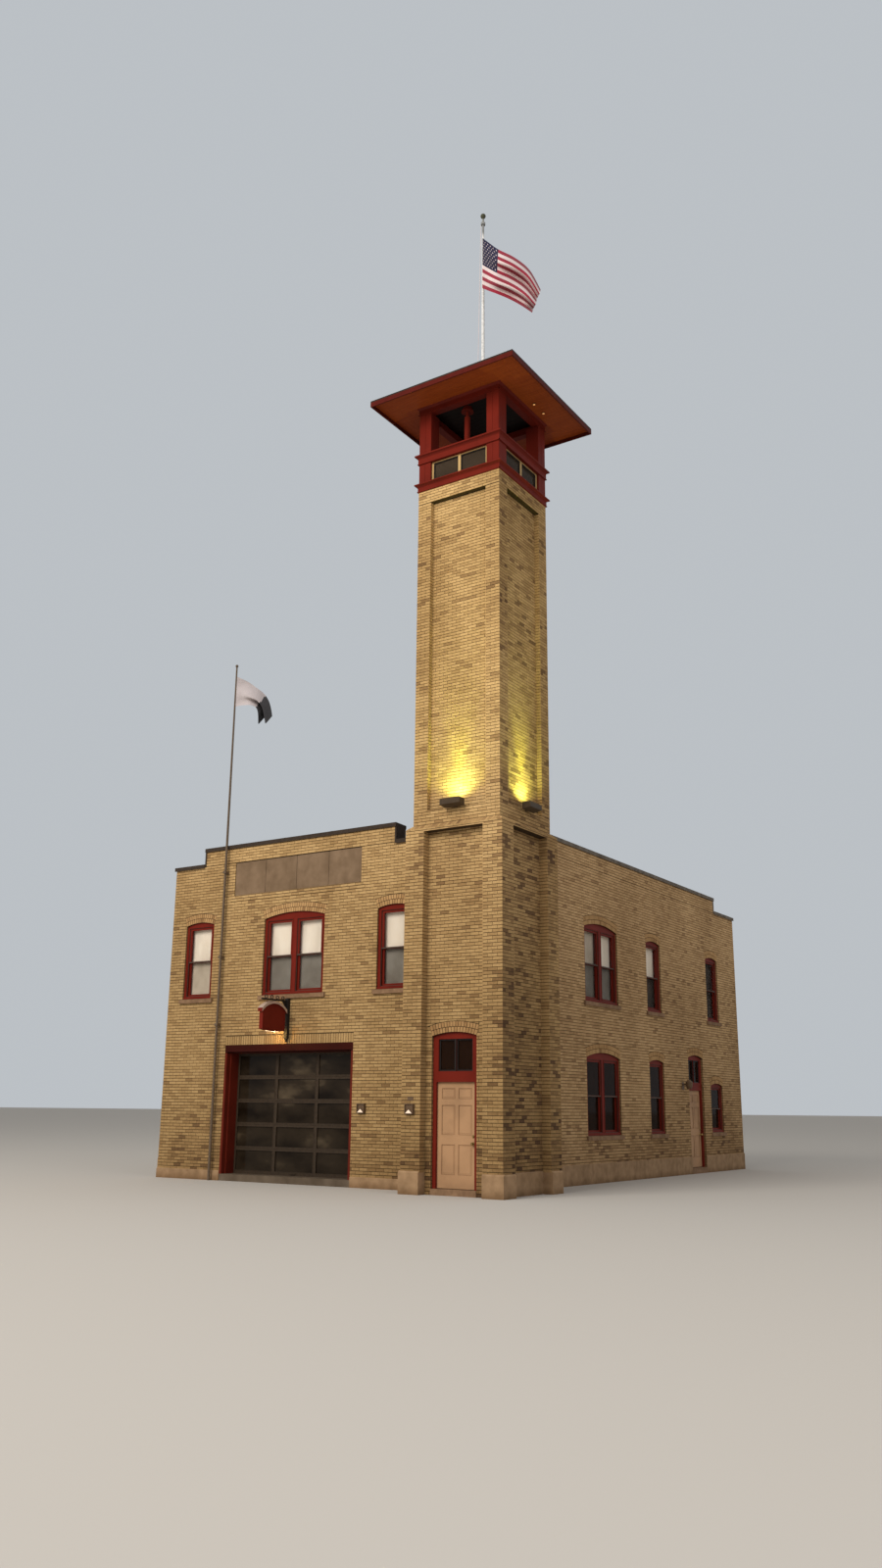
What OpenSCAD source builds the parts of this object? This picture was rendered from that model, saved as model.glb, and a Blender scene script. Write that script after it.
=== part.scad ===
// Brick fire station with a hose-drying tower at its front right corner.
// The origin is at the middle of the main block, on the lowest ground, with +X to the right
// along the front, +Y towards the rear and +Z up. The street front faces -Y.

/* [Main block] */
// Width of the main block along the front
main_w = 9100; // [8600:50:9800]
// Depth of the main block along the side
main_d = 14740; // [14300:20:16000]
// Thickness of the main brick walls
wall_t = 330; // [300:10:360]
// Underside of the coping on the raised parapets
parapet_z = 7760; // [7650:10:8000]
// Underside of the coping on the low parapets
parapet_low_z = 7370; // [7360:10:7450]
// Length of the low parapet at the left end of the front
front_low_left = 1010; // [800:10:1200]
// Length of the low parapet between the raised front and the tower
front_low_right = 950; // [800:10:1100]
// Length of the low parapet at the rear of the side
side_low = 1600; // [1300:10:1900]
// Height of a coping at its outer edge
coping_h = 65; // [50:5:90]
// Overhang of the copings past the walls
coping_over = 40; // [30:5:60]
// Top of the ground floor slab
floor_z = 150; // [120:5:180]
// Top of the upper floor
upper_floor_z = 3450; // [3350:10:3600]
// Thickness of the upper floor
upper_floor_t = 280; // [200:10:300]
// Top of the flat roof deck
roof_deck_z = 6950; // [6800:10:7100]
// Thickness of the flat roof deck
roof_deck_t = 220; // [150:10:300]
// Height of the rendered foundation band on the sides
foundation_h = 450; // [350:10:550]
// Height of the rendered foundation band on the front
foundation_front_h = 225; // [150:5:300]
// How far the foundation band stands out from the brick
foundation_out = 20; // [10:2:30]

/* [Windows] */
// Width of a single window opening
single_w = 920; // [800:10:1000]
// Width of a paired window opening
pair_w = 1810; // [1650:10:1900]
// Height of a window opening from its sill to the spring of its arch
window_h = 1780; // [1600:10:1800]
// Height of the small window beside the side door, to the spring of its arch
small_window_h = 1270; // [1100:10:1400]
// Rise of the arch over a single window
single_rise = 70; // [50:5:90]
// Rise of the arch over a paired window
pair_rise = 120; // [90:5:140]
// Height of the lower window openings above the ground
lower_sill_z = 1060; // [950:10:1150]
// Height of the upper window openings above the ground
upper_sill_z = 4140; // [4100:10:4200]
// Width of the casing at the sides of a window
casing_side = 80; // [60:5:100]
// Height of the wooden sill under the sashes
casing_foot = 65; // [50:5:80]
// Height of the head board over the sashes, under the spring of the arch
casing_head = 50; // [40:5:70]
// Width of the stiles and rails of a sash
sash_rail = 55; // [45:5:65]
// Rails of a window's two sashes where they meet
meeting_rail = 34; // [28:2:44]
// Thickness of a sash
sash_t = 38; // [32:1:44]
// Width of the mullion between paired windows
window_mullion = 140; // [110:5:160]
// Depth of a window casing
casing_t = 130; // [115:5:150]
// Distance of a window casing behind the wall face
window_set = 38; // [30:2:60]
// Height of a stone sill
sill_h = 100; // [70:5:110]
// How far a stone sill runs past the opening at each end
sill_side = 75; // [50:5:100]
// How far a stone sill stands out from the wall
sill_out = 50; // [30:5:60]
// Thickness of the window glass
glass_t = 6; // [4:1:8]
// Middle of the paired window on the front
front_pair_x = -640; // [-700:10:-560]
// Middle of the left single window on the front
front_left_x = -3620; // [-3700:10:-3550]
// Middle of the right single window on the front
front_right_x = 2220; // [2150:10:2300]
// Middle of the paired windows on the side
side_pair_y = -1920; // [-2100:10:-1800]
// Middle of the single windows on the side
side_single_y = 1210; // [1000:5:1300]
// Middle of the windows behind the side door
side_rear_y = 5400; // [5300:10:5450]
// Middle of the single windows at the front of the left side
left_front_y = -5000; // [-5200:10:-4900]
// Distance of the single windows on the rear from its middle
rear_single_x = 2900; // [2700:10:3100]

/* [Inscription panel] */
// Middle of the inscription panel along the front
panel_x = -640; // [-700:10:-560]
// Width of the inscription panel
panel_w = 3820; // [3600:10:4000]
// Bottom of the inscription panel
panel_z = 6570; // [6500:10:6600]
// Height of the inscription panel
panel_h = 800; // [700:10:850]
// Number of stones in the inscription panel
panel_stones = 4; // [3:1:5]
// Depth of the inscription stones behind the wall face
panel_set = 15; // [8:1:30]

/* [Garage door] */
// Width of the garage opening in the brick
garage_w = 3760; // [3600:10:3900]
// Middle of the garage opening
garage_x = -700; // [-760:10:-640]
// Height of the garage opening above the ground
garage_z = 3020; // [2950:10:3060]
// Width of the red boards at the sides of the opening
garage_lining = 90; // [70:5:110]
// Height of the red board over the door
garage_head = 180; // [150:5:210]
// Distance of the door behind the wall face
garage_set = 380; // [370:5:400]
// Thickness of the garage door
garage_door_t = 45; // [40:1:60]
// Number of sections in the door's height
garage_rows = 5; // [4:1:6]
// Number of panes across the door
garage_cols = 3; // [2:1:4]
// Width of the rails and stiles round the panes
garage_rail = 70; // [55:5:90]

/* [Hinged doors] */
// Width of a door opening in the brick
door_open_w = 1060; // [1030:5:1100]
// Height of a door opening to the spring of its arch
door_spring_z = 3055; // [2950:5:3100]
// Rise of the arch over a door
door_rise = 75; // [50:5:90]
// Width of a door leaf
leaf_w = 915; // [860:5:930]
// Height of a door leaf
leaf_h = 2030; // [1980:5:2060]
// Thickness of a door leaf
leaf_t = 45; // [40:1:50]
// Gap round a door leaf
leaf_gap = 5; // [5:1:8]
// Gap under a door leaf
leaf_foot_gap = 10; // [6:1:14]
// Distance of a door leaf behind the wall face
leaf_set = 110; // [100:5:130]
// Height of the bar between a door and the window over it
transom_bar = 200; // [150:10:230]
// Width of the stiles of a door leaf
leaf_stile = 110; // [95:5:120]
// Width of the stile between the panels of a door leaf
leaf_mid_stile = 90; // [70:5:110]
// Depth of the panels of a door leaf
leaf_panel_depth = 9; // [6:1:12]
// Offset of the tower door from the middle of the tower
tower_door_offset = -60; // [-120:5:0]
// Middle of the side door
side_door_y = 3875; // [3700:5:3950]
// Radius of a hinge barrel
hinge_r = 9; // [7:0.5:11]
// Height of a hinge
hinge_h = 102; // [80:2:120]
// Running gap between the parts of a hinge
hinge_gap = 0.3; // [0.2:0.1:0.5]
// Height of the knob above the foot of the leaf
knob_z = 850; // [800:10:1000]

/* [Tower] */
// Width of the square tower at its base
tower_w = 2360; // [2300:10:2450]
// Distance of the tower's front before the main front wall
tower_forward = 930; // [850:10:1000]
// Distance of the tower's side beyond the main side wall
tower_aside = 950; // [850:10:1000]
// Width of the corner piers of the base, and thickness of its walls
base_pier = 450; // [420:10:500]
// Depth of the panels between the piers of the base
base_recess = 200; // [150:10:220]
// Top of the panels of the base
base_panel_z = 7285; // [7200:5:7300]
// Top of the floor inside the tower
tower_floor_z = 120; // [90:5:150]
// Top of the brick base
base_z = 7350; // [7340:5:7360]
// Rise of the sloped ledge on the base
ledge_h = 95; // [60:5:120]
// Step from the base in to the shaft
shaft_step = 115; // [90:5:130]
// Depth of the panels of the shaft
shaft_recess = 115; // [90:5:130]
// Bottom of the panels of the shaft
shaft_panel_z = 7760; // [7600:10:7900]
// Top of the panels of the shaft
shaft_panel_top = 14990; // [14800:10:15100]
// Top of the brick shaft
shaft_z = 15300; // [15200:10:15500]
// Height of the rendered plinths under the base piers
plinth_h = 450; // [400:10:500]
// How far a plinth stands out from its pier
plinth_out = 35; // [20:5:50]

/* [Belfry] */
// Height of the lower cornice
cornice_low_h = 200; // [160:10:240]
// Height of the window band between the cornices
band_h = 500; // [440:10:560]
// Height of the upper cornice
cornice_high_h = 240; // [200:10:300]
// How far a cornice stands out from the shaft
cornice_out = 85; // [60:5:100]
// Width of the corner posts
post_w = 320; // [280:10:340]
// Depth of the walls of the cornices and of the head beam
band_t = 150; // [120:10:180]
// Distance of the band's windows behind the posts
band_set = 45; // [30:5:60]
// Width of the trim round the band's windows
band_trim = 50; // [40:5:60]
// Height of the open belfry between its sill and its head beam
open_h = 1040; // [950:10:1100]
// Height of the head beam
beam_h = 200; // [160:10:240]
// Thickness of the belfry floor
belfry_floor_t = 100; // [80:10:140]
// Half width of the roof from its middle to its eave
roof_half = 1900; // [1800:10:2000]
// Height of the fascia at the eave
fascia_h = 110; // [90:10:140]
// Thickness of the fascia board
fascia_t = 30; // [20:2:40]
// Rise of the hipped roof from its eave to its top
roof_rise = 750; // [600:10:900]
// Thickness of the roof's boards and rafters
roof_skin = 120; // [90:5:150]
// Thickness of the soffit boards
soffit_t = 25; // [20:1:35]

/* [Flagpoles and flags] */
// Height of the tower flagpole's ball above the ground
flagpole_z = 23090; // [22800:10:23400]
// Diameter of the tower flagpole at its foot
flagpole_d = 90; // [70:5:110]
// Diameter of the tower flagpole at its top
flagpole_top_d = 50; // [40:5:60]
// Diameter of the ball on the tower flagpole
flagpole_ball_d = 130; // [100:5:160]
// Reach of the large flag from its pole, as it waves
flag_l = 1590; // [1300:10:1800]
// Height of the large flag at its hoist
flag_h = 1430; // [1200:10:1530]
// Drop of the large flag's top edge over its reach
flag_top_drop = 1830; // [1200:10:1900]
// Drop of the large flag's bottom edge over its reach
flag_foot_drop = 1230; // [900:10:1500]
// Distance of the large flag's top below the middle of the ball
flag_below = 640; // [500:10:800]
// Height of the top of the small pole above the ground
wall_pole_z = 12490; // [12000:10:13000]
// Middle of the small pole along the front
wall_pole_x = -2800; // [-2850:10:-2750]
// Diameter of the small pole
wall_pole_d = 60; // [45:5:70]
// Distance of the small pole's middle before the wall
wall_pole_out = 100; // [80:5:120]
// Reach of the small flag from its pole, as it waves
small_flag_l = 1200; // [1000:10:1400]
// Height of the small flag at its hoist
small_flag_h = 790; // [700:10:920]
// Drop of the small flag's edges over its reach
small_flag_drop = 580; // [400:10:700]
// Distance of the small flag's top below the top of its pole
small_flag_below = 270; // [200:10:350]
// Thickness of a flag
flag_t = 16; // [10:1:24]
// Depth of a flag's ripple
flag_wave = 90; // [60:5:120]

/* [Hanging sign] */
// Middle of the hanging sign along the front
sign_x = -700; // [-750:10:-650]
// Bottom of the hanging sign's board
sign_z = 3270; // [3250:5:3275]
// Height of the hanging sign's board at its shoulders
sign_h = 470; // [440:5:475]
// Rise of the arched top of the hanging sign's board
sign_rise = 150; // [130:5:155]
// Width of the hanging sign's board
sign_w = 760; // [650:10:800]
// Thickness of the hanging sign's board
sign_t = 100; // [60:5:120]
// Distance of the hanging sign's board from the wall
sign_gap = 170; // [150:10:200]
// Bottom of the bracket's wall post
bracket_z = 3140; // [3110:10:3180]
// Gap between the bracket's wall post and the window sill over it
bracket_gap = 10; // [5:1:13]

/* [Lamps] */
// Length of a floodlight
flood_l = 490; // [420:10:560]
// Height of a floodlight
flood_h = 150; // [120:5:170]
// Depth of a floodlight
flood_w = 200; // [160:10:230]
// Bottom of a floodlight
flood_z = 7735; // [7700:5:7735]
// Width of a square wall lamp
lamp_w = 200; // [160:10:230]
// Bottom of the square wall lamps
lamp_z = 1530; // [1450:10:1600]
// Middle of the square lamp on the front
lamp_front_x = 1460; // [1400:10:1520]
// Middle of the square lamp on the tower, from the middle of the tower
lamp_tower_x = -960; // [-1000:10:-940]
// Middle of the lantern on the side
lantern_y = 2900; // [2750:10:3000]
// Top of the lantern on the side
lantern_z = 2450; // [2350:10:2550]

/* [Hidden] */

// Colours
brick = "#b89a6a";
stone = "#a8977f";
render_tan = "#a98f6f";
barn_red = "#7a2a22";
dark_metal = "#3b332e";
grey_tile = "#77766f";
pane_grey = "#8fa0a8";
door_beige = "#c9a98c";
bronze = "#2f2925";
soffit_brown = "#8a4a22";
cream = "#d8c79a";
pole_grey = "#b9b9b4";

// Facets of round bodies, and of the large arcs of the arches
$fn = 48;
arch_fn = 180;
// Cutting tools run past a face by this much
past = 10;

// Outer faces of the main block
front_y = -main_d / 2;
rear_y = main_d / 2;
left_x = -main_w / 2;
right_x = main_w / 2;

// Tower
tower_x = right_x + tower_aside - tower_w / 2;
tower_y = front_y - tower_forward + tower_w / 2;
tower_left_x = tower_x - tower_w / 2;
tower_rear_y = tower_y + tower_w / 2;
tower_in = tower_w / 2 - base_pier;
shaft_half = tower_w / 2 - shaft_step;
// The front wall is parted one brick course under the spring of the door's arch
course = 69;
tower_split_z = door_spring_z - course;

// Raised part of the front parapet, and end of the raised part of the side parapet
raised_x0 = left_x + front_low_left;
raised_x1 = tower_left_x - front_low_right;
raised_y1 = rear_y - side_low;

// Coping: inward fall of its top, depth of its drip and thickness of its metal
coping_fall = 12;
coping_drip = 25;
coping_lip = 12;

// Windows: middle along the wall, sill height, width, height to the spring, rise
front_windows = [
    [front_left_x, upper_sill_z, single_w, window_h, single_rise],
    [front_pair_x, upper_sill_z, pair_w, window_h, pair_rise],
    [front_right_x, upper_sill_z, single_w, window_h, single_rise]
];
side_front_windows = [
    for (z = [lower_sill_z, upper_sill_z]) each [
        [side_pair_y, z, pair_w, window_h, pair_rise],
        [side_single_y, z, single_w, window_h, single_rise]
    ]
];
side_rear_windows = [
    [side_rear_y, lower_sill_z, single_w, small_window_h, single_rise],
    [side_rear_y, upper_sill_z, single_w, window_h, single_rise]
];
side_windows = concat(side_front_windows, side_rear_windows);
// The left side is seen from outside with its front at the right, so places along it change sign
left_windows = [
    for (z = [lower_sill_z, upper_sill_z]) each [
        [-left_front_y, z, single_w, window_h, single_rise],
        [-side_pair_y, z, pair_w, window_h, pair_rise],
        [-side_single_y, z, single_w, window_h, single_rise],
        [-side_rear_y, z, single_w, window_h, single_rise]
    ]
];
rear_windows = [
    for (z = [lower_sill_z, upper_sill_z]) each [
        [-rear_single_x, z, single_w, window_h, single_rise],
        [0, z, pair_w, window_h, pair_rise],
        [rear_single_x, z, single_w, window_h, single_rise]
    ]
];
// The upper sash stands this far behind the face of the casing
sash_set = 22;

// Inscription panel: joint between stones, depth of the pocket, and the brick course under it
panel_joint = 10;
panel_pocket = 70;
panel_gap = 5;
panel_course_out = 15;
panel_course_side = 110;

// Garage opening
garage_x0 = garage_x - garage_w / 2;
garage_x1 = garage_x + garage_w / 2;
garage_clear_z = garage_z - garage_head;
garage_lap = 25;
garage_door_w = garage_w - 2 * garage_lining + 2 * garage_lap;
garage_door_z = garage_clear_z + garage_lap;
garage_cell_w = (garage_door_w - garage_rail) / garage_cols;
garage_cell_h = (garage_door_z - floor_z - garage_rail) / garage_rows;
garage_groove = 6;
// The lining's outer casing is narrower than the stop behind it
garage_step = 30;
garage_casing_t = 120;

// Hinged doors
tower_door_x = tower_x + tower_door_offset;
frame_front = 55;
frame_stop = 12;
transom_rim = 60;
transom_muntin = 28;
hinge_inset = 200;
// The hinge axis lies in the gap beside the leaf, just behind its back face
hinge_x = -leaf_w / 2 - leaf_gap / 2;
hinge_y = leaf_set + leaf_t + hinge_r;
hinge_plate_t = 3;
hinge_plate_w = 35;
// Heights of the hinges above the foot of the leaf
hinge_places = [hinge_inset, leaf_h / 2, leaf_h - hinge_inset];
// Rows of panels in a leaf: bottom and height, each as a share of the leaf's height
leaf_panel_rows = [[0.130, 0.277], [0.501, 0.277], [0.840, 0.098]];
leaf_panel_bevel = 28;
leaf_field_rise = 5;
knob_inset = 65;
knob_d = 54;
knob_neck_d = 24;
knob_out = 50;
rose_d = 62;
rose_t = 8;
bolt_d = 44;
bolt_t = 20;
bolt_rise = 140;
function leaf_z(floor) = floor + leaf_foot_gap;
function transom_z(floor) = leaf_z(floor) + leaf_h + leaf_gap + transom_bar;

// Side door in the frame of its wall
side_door_s0 = side_door_y - door_open_w / 2;
side_door_s1 = side_door_y + door_open_w / 2;

// Belfry levels
band_z = shaft_z + cornice_low_h;
cornice_high_z = band_z + band_h;
open_z = cornice_high_z + cornice_high_h;
beam_z = open_z + open_h;
eave_z = beam_z + beam_h;
roof_top_z = eave_z + roof_rise;
// Cornice section: board, cove and lip, as shares of its height and steps out from the shaft
cornice_board_out = 22;
cornice_board = 0.62;
cornice_cove = 0.82;
beam_out = 15;
beam_crown = 45;
// Flat top of the roof under the flagpole, and thickness of the roof's edge
roof_top_half = 110;
roof_edge_t = 28;
// Width of the roof's flat seat on the soffit, from the eave inwards
roof_seat = 360;
band_trim_t = 60;
band_mullion = 70;
// The belfry floor lies this far above the foot of the upper cornice
belfry_floor_rise = 20;
// Stand in the belfry
stand_setback = 380;
stand_d = 140;
stand_h = 980;
stand_neck_d = 60;
stand_neck_h = 140;
stand_cap_d = 290;
stand_cap_top_d = 210;
stand_cap_h = 120;

// Flagpoles
pole_collar_d = 190;
pole_collar_h = 120;
truck_d = 110;
truck_h = 60;
truck_below = 260;
wall_pole_top_d = 40;
wall_pole_ball_d = 75;
clamp_w = 90;
clamp_h = 60;
wall_pole_clamps = [3470, 5060, parapet_low_z - 250];
flag_gap = 0.3;
flag_turns = 720;
flag_steps = 32;

// Hanging sign
bracket_top = upper_sill_z - sill_h - bracket_gap;
bracket_w = 90;
bracket_point = 100;
bracket_arm = 36;
bracket_scroll_r = 45;
bracket_scroll_t = 10;
bracket_scroll_w = 20;
bracket_scrolls = 4;
gusset_w = 150;
gusset_h = 160;
gusset_t = 12;
sign_trim = 24;
sign_sink = 6;
sign_foot_rise = 40;
hood_t = 45;
hood_over = 40;
hood_lip = 20;
hood_drip = 10;
hanger_d = 14;
hanger_gap = 16;
arm_z = sign_z + sign_h + sign_rise + hood_t + hanger_gap;

// Lamps
flood_tilt = 35;
flood_off = 60;
flood_wall = 12;
flood_arm_w = 40;
flood_arm_z = 25;
soffit_lamp_d = 70;
soffit_lamp_h = 20;
soffit_lamp_x = 1310;
soffit_lamp_y = [130, 580];
lamp_t = 70;
lamp_rim = 18;
lantern_d = 190;
lantern_foot_d = 130;
lantern_top_d = 70;
lantern_glass_h = 170;
lantern_h = 240;
lantern_out = 190;
lantern_plate = 130;

// Radius of an arc of this width and rise
function arc_r(w, rise) = (w * w / 4 + rise * rise) / (2 * rise);

// A block between two corners
module slab(x0, x1, y0, y1, z0, z1) {
    translate([x0, y0, z0]) cube([x1 - x0, y1 - y0, z1 - z0]);
}

// A block with a segmental arch as its top, centred on X, from y = 0 to y = t
module arched(w, spring, rise, t) {
    r = arc_r(w, rise);
    intersection() {
        slab(-w / 2, w / 2, 0, t, 0, spring + rise);
        translate([0, t, spring + rise - r]) rotate([90, 0, 0]) cylinder(r = r, h = t, $fn = arch_fn);
    }
}

// A length along X of a section given in Y and Z
module run(x0, x1, section) {
    translate([x0, 0, 0]) rotate([90, 0, 90]) linear_extrude(height = x1 - x0) polygon(section);
}

// A mitred body on the tower's square plan; its section gives distance from the middle and height
module on_square(section) {
    far = roof_half + past;
    translate([tower_x, tower_y, 0]) for (turn = [0 : 3]) rotate(90 * turn) intersection() {
        run(-far, far, [for (p = section) [-p[0], p[1]]]);
        linear_extrude(height = roof_top_z + past) polygon([[0, 0], [-far, -far], [far, -far]]);
    }
}

// The walls share one drawing frame: X along the wall to the right seen from outside, Y inwards
module on_front() translate([0, front_y, 0]) children();
module on_right() translate([right_x, 0, 0]) rotate(90) children();
module on_left() translate([left_x, 0, 0]) rotate(-90) children();
module on_rear() translate([0, rear_y, 0]) rotate(180) children();

// One face of the tower in the same frame: 0 front, 1 right, 2 rear, 3 left
module on_tower(turn) {
    translate([tower_x, tower_y, 0]) rotate(90 * turn) translate([0, -tower_w / 2, 0]) children();
}

module on_tower_door() on_tower(0) translate([tower_door_offset, base_recess, 0]) children();
module on_side_door() on_right() translate([side_door_y, 0, 0]) children();

// Lights of a window: left and right edge of each, inside the casing
function lights(w) =
    let (n = w[2] > single_w ? 2 : 1, lw = (w[2] - 2 * casing_side - (n - 1) * window_mullion) / n)
    [for (i = [0 : n - 1]) let (x = -w[2] / 2 + casing_side + i * (lw + window_mullion)) [x, x + lw]];

function sash_top(w) = w[3] - casing_head;
function sash_mid(w) = (casing_foot + sash_top(w)) / 2;

module window_holes(list) {
    for (w = list) {
        translate([w[0], -past, w[1]]) arched(w[2], w[3], w[4], wall_t + 2 * past);
    }
}

// A ring of stiles and rails in the XZ plane
module sash(x0, x1, z0, z1, foot, head) {
    difference() {
        slab(x0, x1, 0, sash_t, z0, z1);
        slab(x0 + sash_rail, x1 - sash_rail, -past, sash_t + past, z0 + foot, z1 - head);
    }
}

// Casings with their sashes, for a list of windows
module casements(list) {
    for (w = list) translate([w[0], window_set, w[1]]) {
        difference() {
            arched(w[2], w[3], w[4], casing_t);
            for (l = lights(w)) slab(l[0], l[1], -past, casing_t + past, casing_foot, sash_top(w));
        }
        for (l = lights(w)) {
            // The upper sash stands before the lower one, and their rails lap
            translate([0, sash_set, 0])
                sash(l[0], l[1], sash_mid(w) - meeting_rail / 2, sash_top(w), meeting_rail, sash_rail);
            translate([0, sash_set + sash_t, 0])
                sash(l[0], l[1], casing_foot, sash_mid(w) + meeting_rail / 2, sash_rail, meeting_rail);
        }
    }
}

module window_panes(list) {
    y0 = window_set + sash_set + (sash_t - glass_t) / 2;
    for (w = list) for (l = lights(w)) translate([w[0], y0, w[1]]) {
        slab(l[0] + sash_rail, l[1] - sash_rail, 0, glass_t,
             sash_mid(w) + meeting_rail / 2, sash_top(w) - sash_rail);
        slab(l[0] + sash_rail, l[1] - sash_rail, sash_t, sash_t + glass_t,
             casing_foot + sash_rail, sash_mid(w) - meeting_rail / 2);
    }
}

// A stone sill with a weathered top that falls outwards
module window_stones(list) {
    fall = 12;
    for (w = list) translate([0, 0, w[1]]) {
        run(w[0] - w[2] / 2 - sill_side, w[0] + w[2] / 2 + sill_side,
            [[-sill_out, -sill_h], [-sill_out, -fall], [0, 0], [0, -sill_h]]);
    }
}

// A floor inside the main block, cut back round the tower
module inner_slab(z0, z1) {
    difference() {
        slab(left_x + wall_t, right_x - wall_t, front_y + wall_t, rear_y - wall_t, z0, z1);
        slab(tower_left_x, right_x, front_y, tower_rear_y, z0 - past, z1 + past);
    }
}

module ground_floor() {
    color(stone) {
        inner_slab(0, floor_z);
        on_front() slab(garage_x0, garage_x1, 0, wall_t, 0, floor_z);
        translate([tower_x, tower_y, 0]) slab(-tower_in, tower_in, -tower_in, tower_in, 0, tower_floor_z);
    }
}

module upper_floor() color("#8b7355") inner_slab(upper_floor_z - upper_floor_t, upper_floor_z);

module roof_deck() color("#4a4a4a") inner_slab(roof_deck_z - roof_deck_t, roof_deck_z);

// The front wall beside the garage opening
module front_piers() {
    color(brick) on_front() {
        slab(left_x, garage_x0, 0, wall_t, 0, garage_z);
        slab(garage_x1, tower_left_x, 0, wall_t, 0, garage_z);
    }
}

module front_wall_upper() {
    half = panel_w / 2;
    color(brick) on_front() {
        difference() {
            union() {
                slab(left_x, tower_left_x, 0, wall_t, garage_z, parapet_low_z);
                slab(raised_x0, raised_x1, 0, wall_t, parapet_low_z, parapet_z);
            }
            window_holes(front_windows);
            slab(panel_x - half - panel_gap, panel_x + half + panel_gap, -past, panel_pocket,
                 panel_z - panel_gap, panel_z + panel_h + panel_gap);
        }
        // Projecting course under the inscription
        slab(panel_x - half - panel_course_side, panel_x + half + panel_course_side, -panel_course_out, 0,
             panel_z - panel_gap - 2 * course, panel_z - panel_gap - course);
    }
}

module inscription_panel() {
    stone_w = (panel_w - (panel_stones - 1) * panel_joint) / panel_stones;
    color("#b39a86") on_front() for (i = [0 : panel_stones - 1]) {
        x0 = panel_x - panel_w / 2 + i * (stone_w + panel_joint);
        slab(x0, x0 + stone_w, panel_set, panel_pocket, panel_z, panel_z + panel_h);
    }
}

// The parapet runs over the ledge of the tower's base to the shaft
module parapet_stub() slab(tower_rear_y - shaft_step, tower_rear_y, 0, wall_t, base_z, parapet_z);

module side_wall_front() {
    color(brick) on_right() difference() {
        union() {
            slab(tower_rear_y, side_door_s0, 0, wall_t, 0, parapet_z);
            parapet_stub();
        }
        window_holes(side_front_windows);
    }
}

module side_wall_rear() {
    color(brick) on_right() difference() {
        union() {
            slab(side_door_s1, rear_y - wall_t, 0, wall_t, 0, parapet_low_z);
            slab(side_door_s1, raised_y1, 0, wall_t, parapet_low_z, parapet_z);
        }
        window_holes(side_rear_windows);
    }
}

module side_wall_over_door() {
    color(brick) on_right() difference() {
        slab(side_door_s0, side_door_s1, 0, wall_t, door_spring_z, parapet_z);
        translate([side_door_y, -past, 0]) arched(door_open_w, door_spring_z, door_rise, wall_t + 2 * past);
    }
}

module left_wall() {
    color(brick) on_left() difference() {
        slab(-rear_y + wall_t, -front_y - wall_t, 0, wall_t, 0, parapet_low_z);
        window_holes(left_windows);
    }
}

module rear_wall() {
    color(brick) on_rear() difference() {
        slab(-right_x, -left_x, 0, wall_t, 0, parapet_low_z);
        window_holes(rear_windows);
    }
}

// A rendered band along a wall, with a bevel on its top edge
module band(x0, x1, h, out) {
    run(x0, x1, [[-out, 0], [-out, h - out], [0, h], [0, 0]]);
}

module foundation() {
    o = foundation_out;
    h = tower_w / 2;
    p = plinth_out;
    color(render_tan) {
        on_front() {
            band(left_x - o, garage_x0, foundation_front_h, o);
            band(garage_x1, tower_left_x, foundation_front_h, o);
        }
        on_right() {
            band(tower_rear_y, side_door_s0, foundation_h, o);
            band(side_door_s1, rear_y, foundation_h, o);
        }
        on_left() band(-rear_y, -front_y, foundation_h, o);
        on_rear() band(-right_x - o, -left_x + o, foundation_h, o);
        // Plinths of the tower's piers, mitred by sharing their corners
        on_tower(0) {
            band(-h - p, -tower_in, plinth_h, p);
            band(tower_in, h + p, plinth_h, p);
        }
        on_tower(1) {
            band(-h, -tower_in, plinth_h, p);
            band(tower_in, h, plinth_h, p);
            translate([0, base_recess, 0]) band(-tower_in, tower_in, plinth_h, o);
        }
        on_tower(3) band(tower_in, h, plinth_h, p);
    }
}

module coping(x0, x1, z) {
    o = coping_over;
    translate([0, 0, z]) run(x0, x1, [
        [-o, -coping_drip], [-o, coping_h], [wall_t + o, coping_h - coping_fall], [wall_t + o, -coping_drip],
        [wall_t + o - coping_lip, -coping_drip], [wall_t + o - coping_lip, 0], [coping_lip - o, 0],
        [coping_lip - o, -coping_drip]
    ]);
}

// Room for a wall that runs away from this one at x0, where it meets the coping's inner lip
module crossing_wall(x0) {
    top = parapet_low_z;
    slab(x0, x0 + wall_t, wall_t, wall_t + coping_over + past, top - coping_drip - past, top);
}

module front_coping() {
    o = coping_over;
    color(dark_metal) on_front() {
        difference() {
            coping(left_x - o, raised_x0 - o, parapet_low_z);
            crossing_wall(left_x);
        }
        coping(raised_x0 - o, raised_x1 + o, parapet_z);
        coping(raised_x1 + o, tower_left_x, parapet_low_z);
        // Metal facing on the ends of the raised parapet, down on to the low coping
        for (x = [raised_x0 - o, raised_x1]) slab(x, x + o, -o / 2, wall_t + o / 2, parapet_low_z, parapet_z);
    }
}

module side_coping() {
    o = coping_over;
    color(grey_tile) {
        on_right() {
            coping(tower_rear_y - shaft_step, raised_y1 + o, parapet_z);
            difference() {
                coping(raised_y1 + o, rear_y + o, parapet_low_z);
                crossing_wall(rear_y - wall_t);
            }
            slab(raised_y1, raised_y1 + o, -o / 2, wall_t + o / 2, parapet_low_z, parapet_z);
        }
        on_left() coping(-rear_y + wall_t + o, -front_y - wall_t - o, parapet_low_z);
        on_rear() difference() {
            coping(-right_x + wall_t + o, -left_x + o, parapet_low_z);
            crossing_wall(-left_x - wall_t);
        }
    }
}

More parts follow.
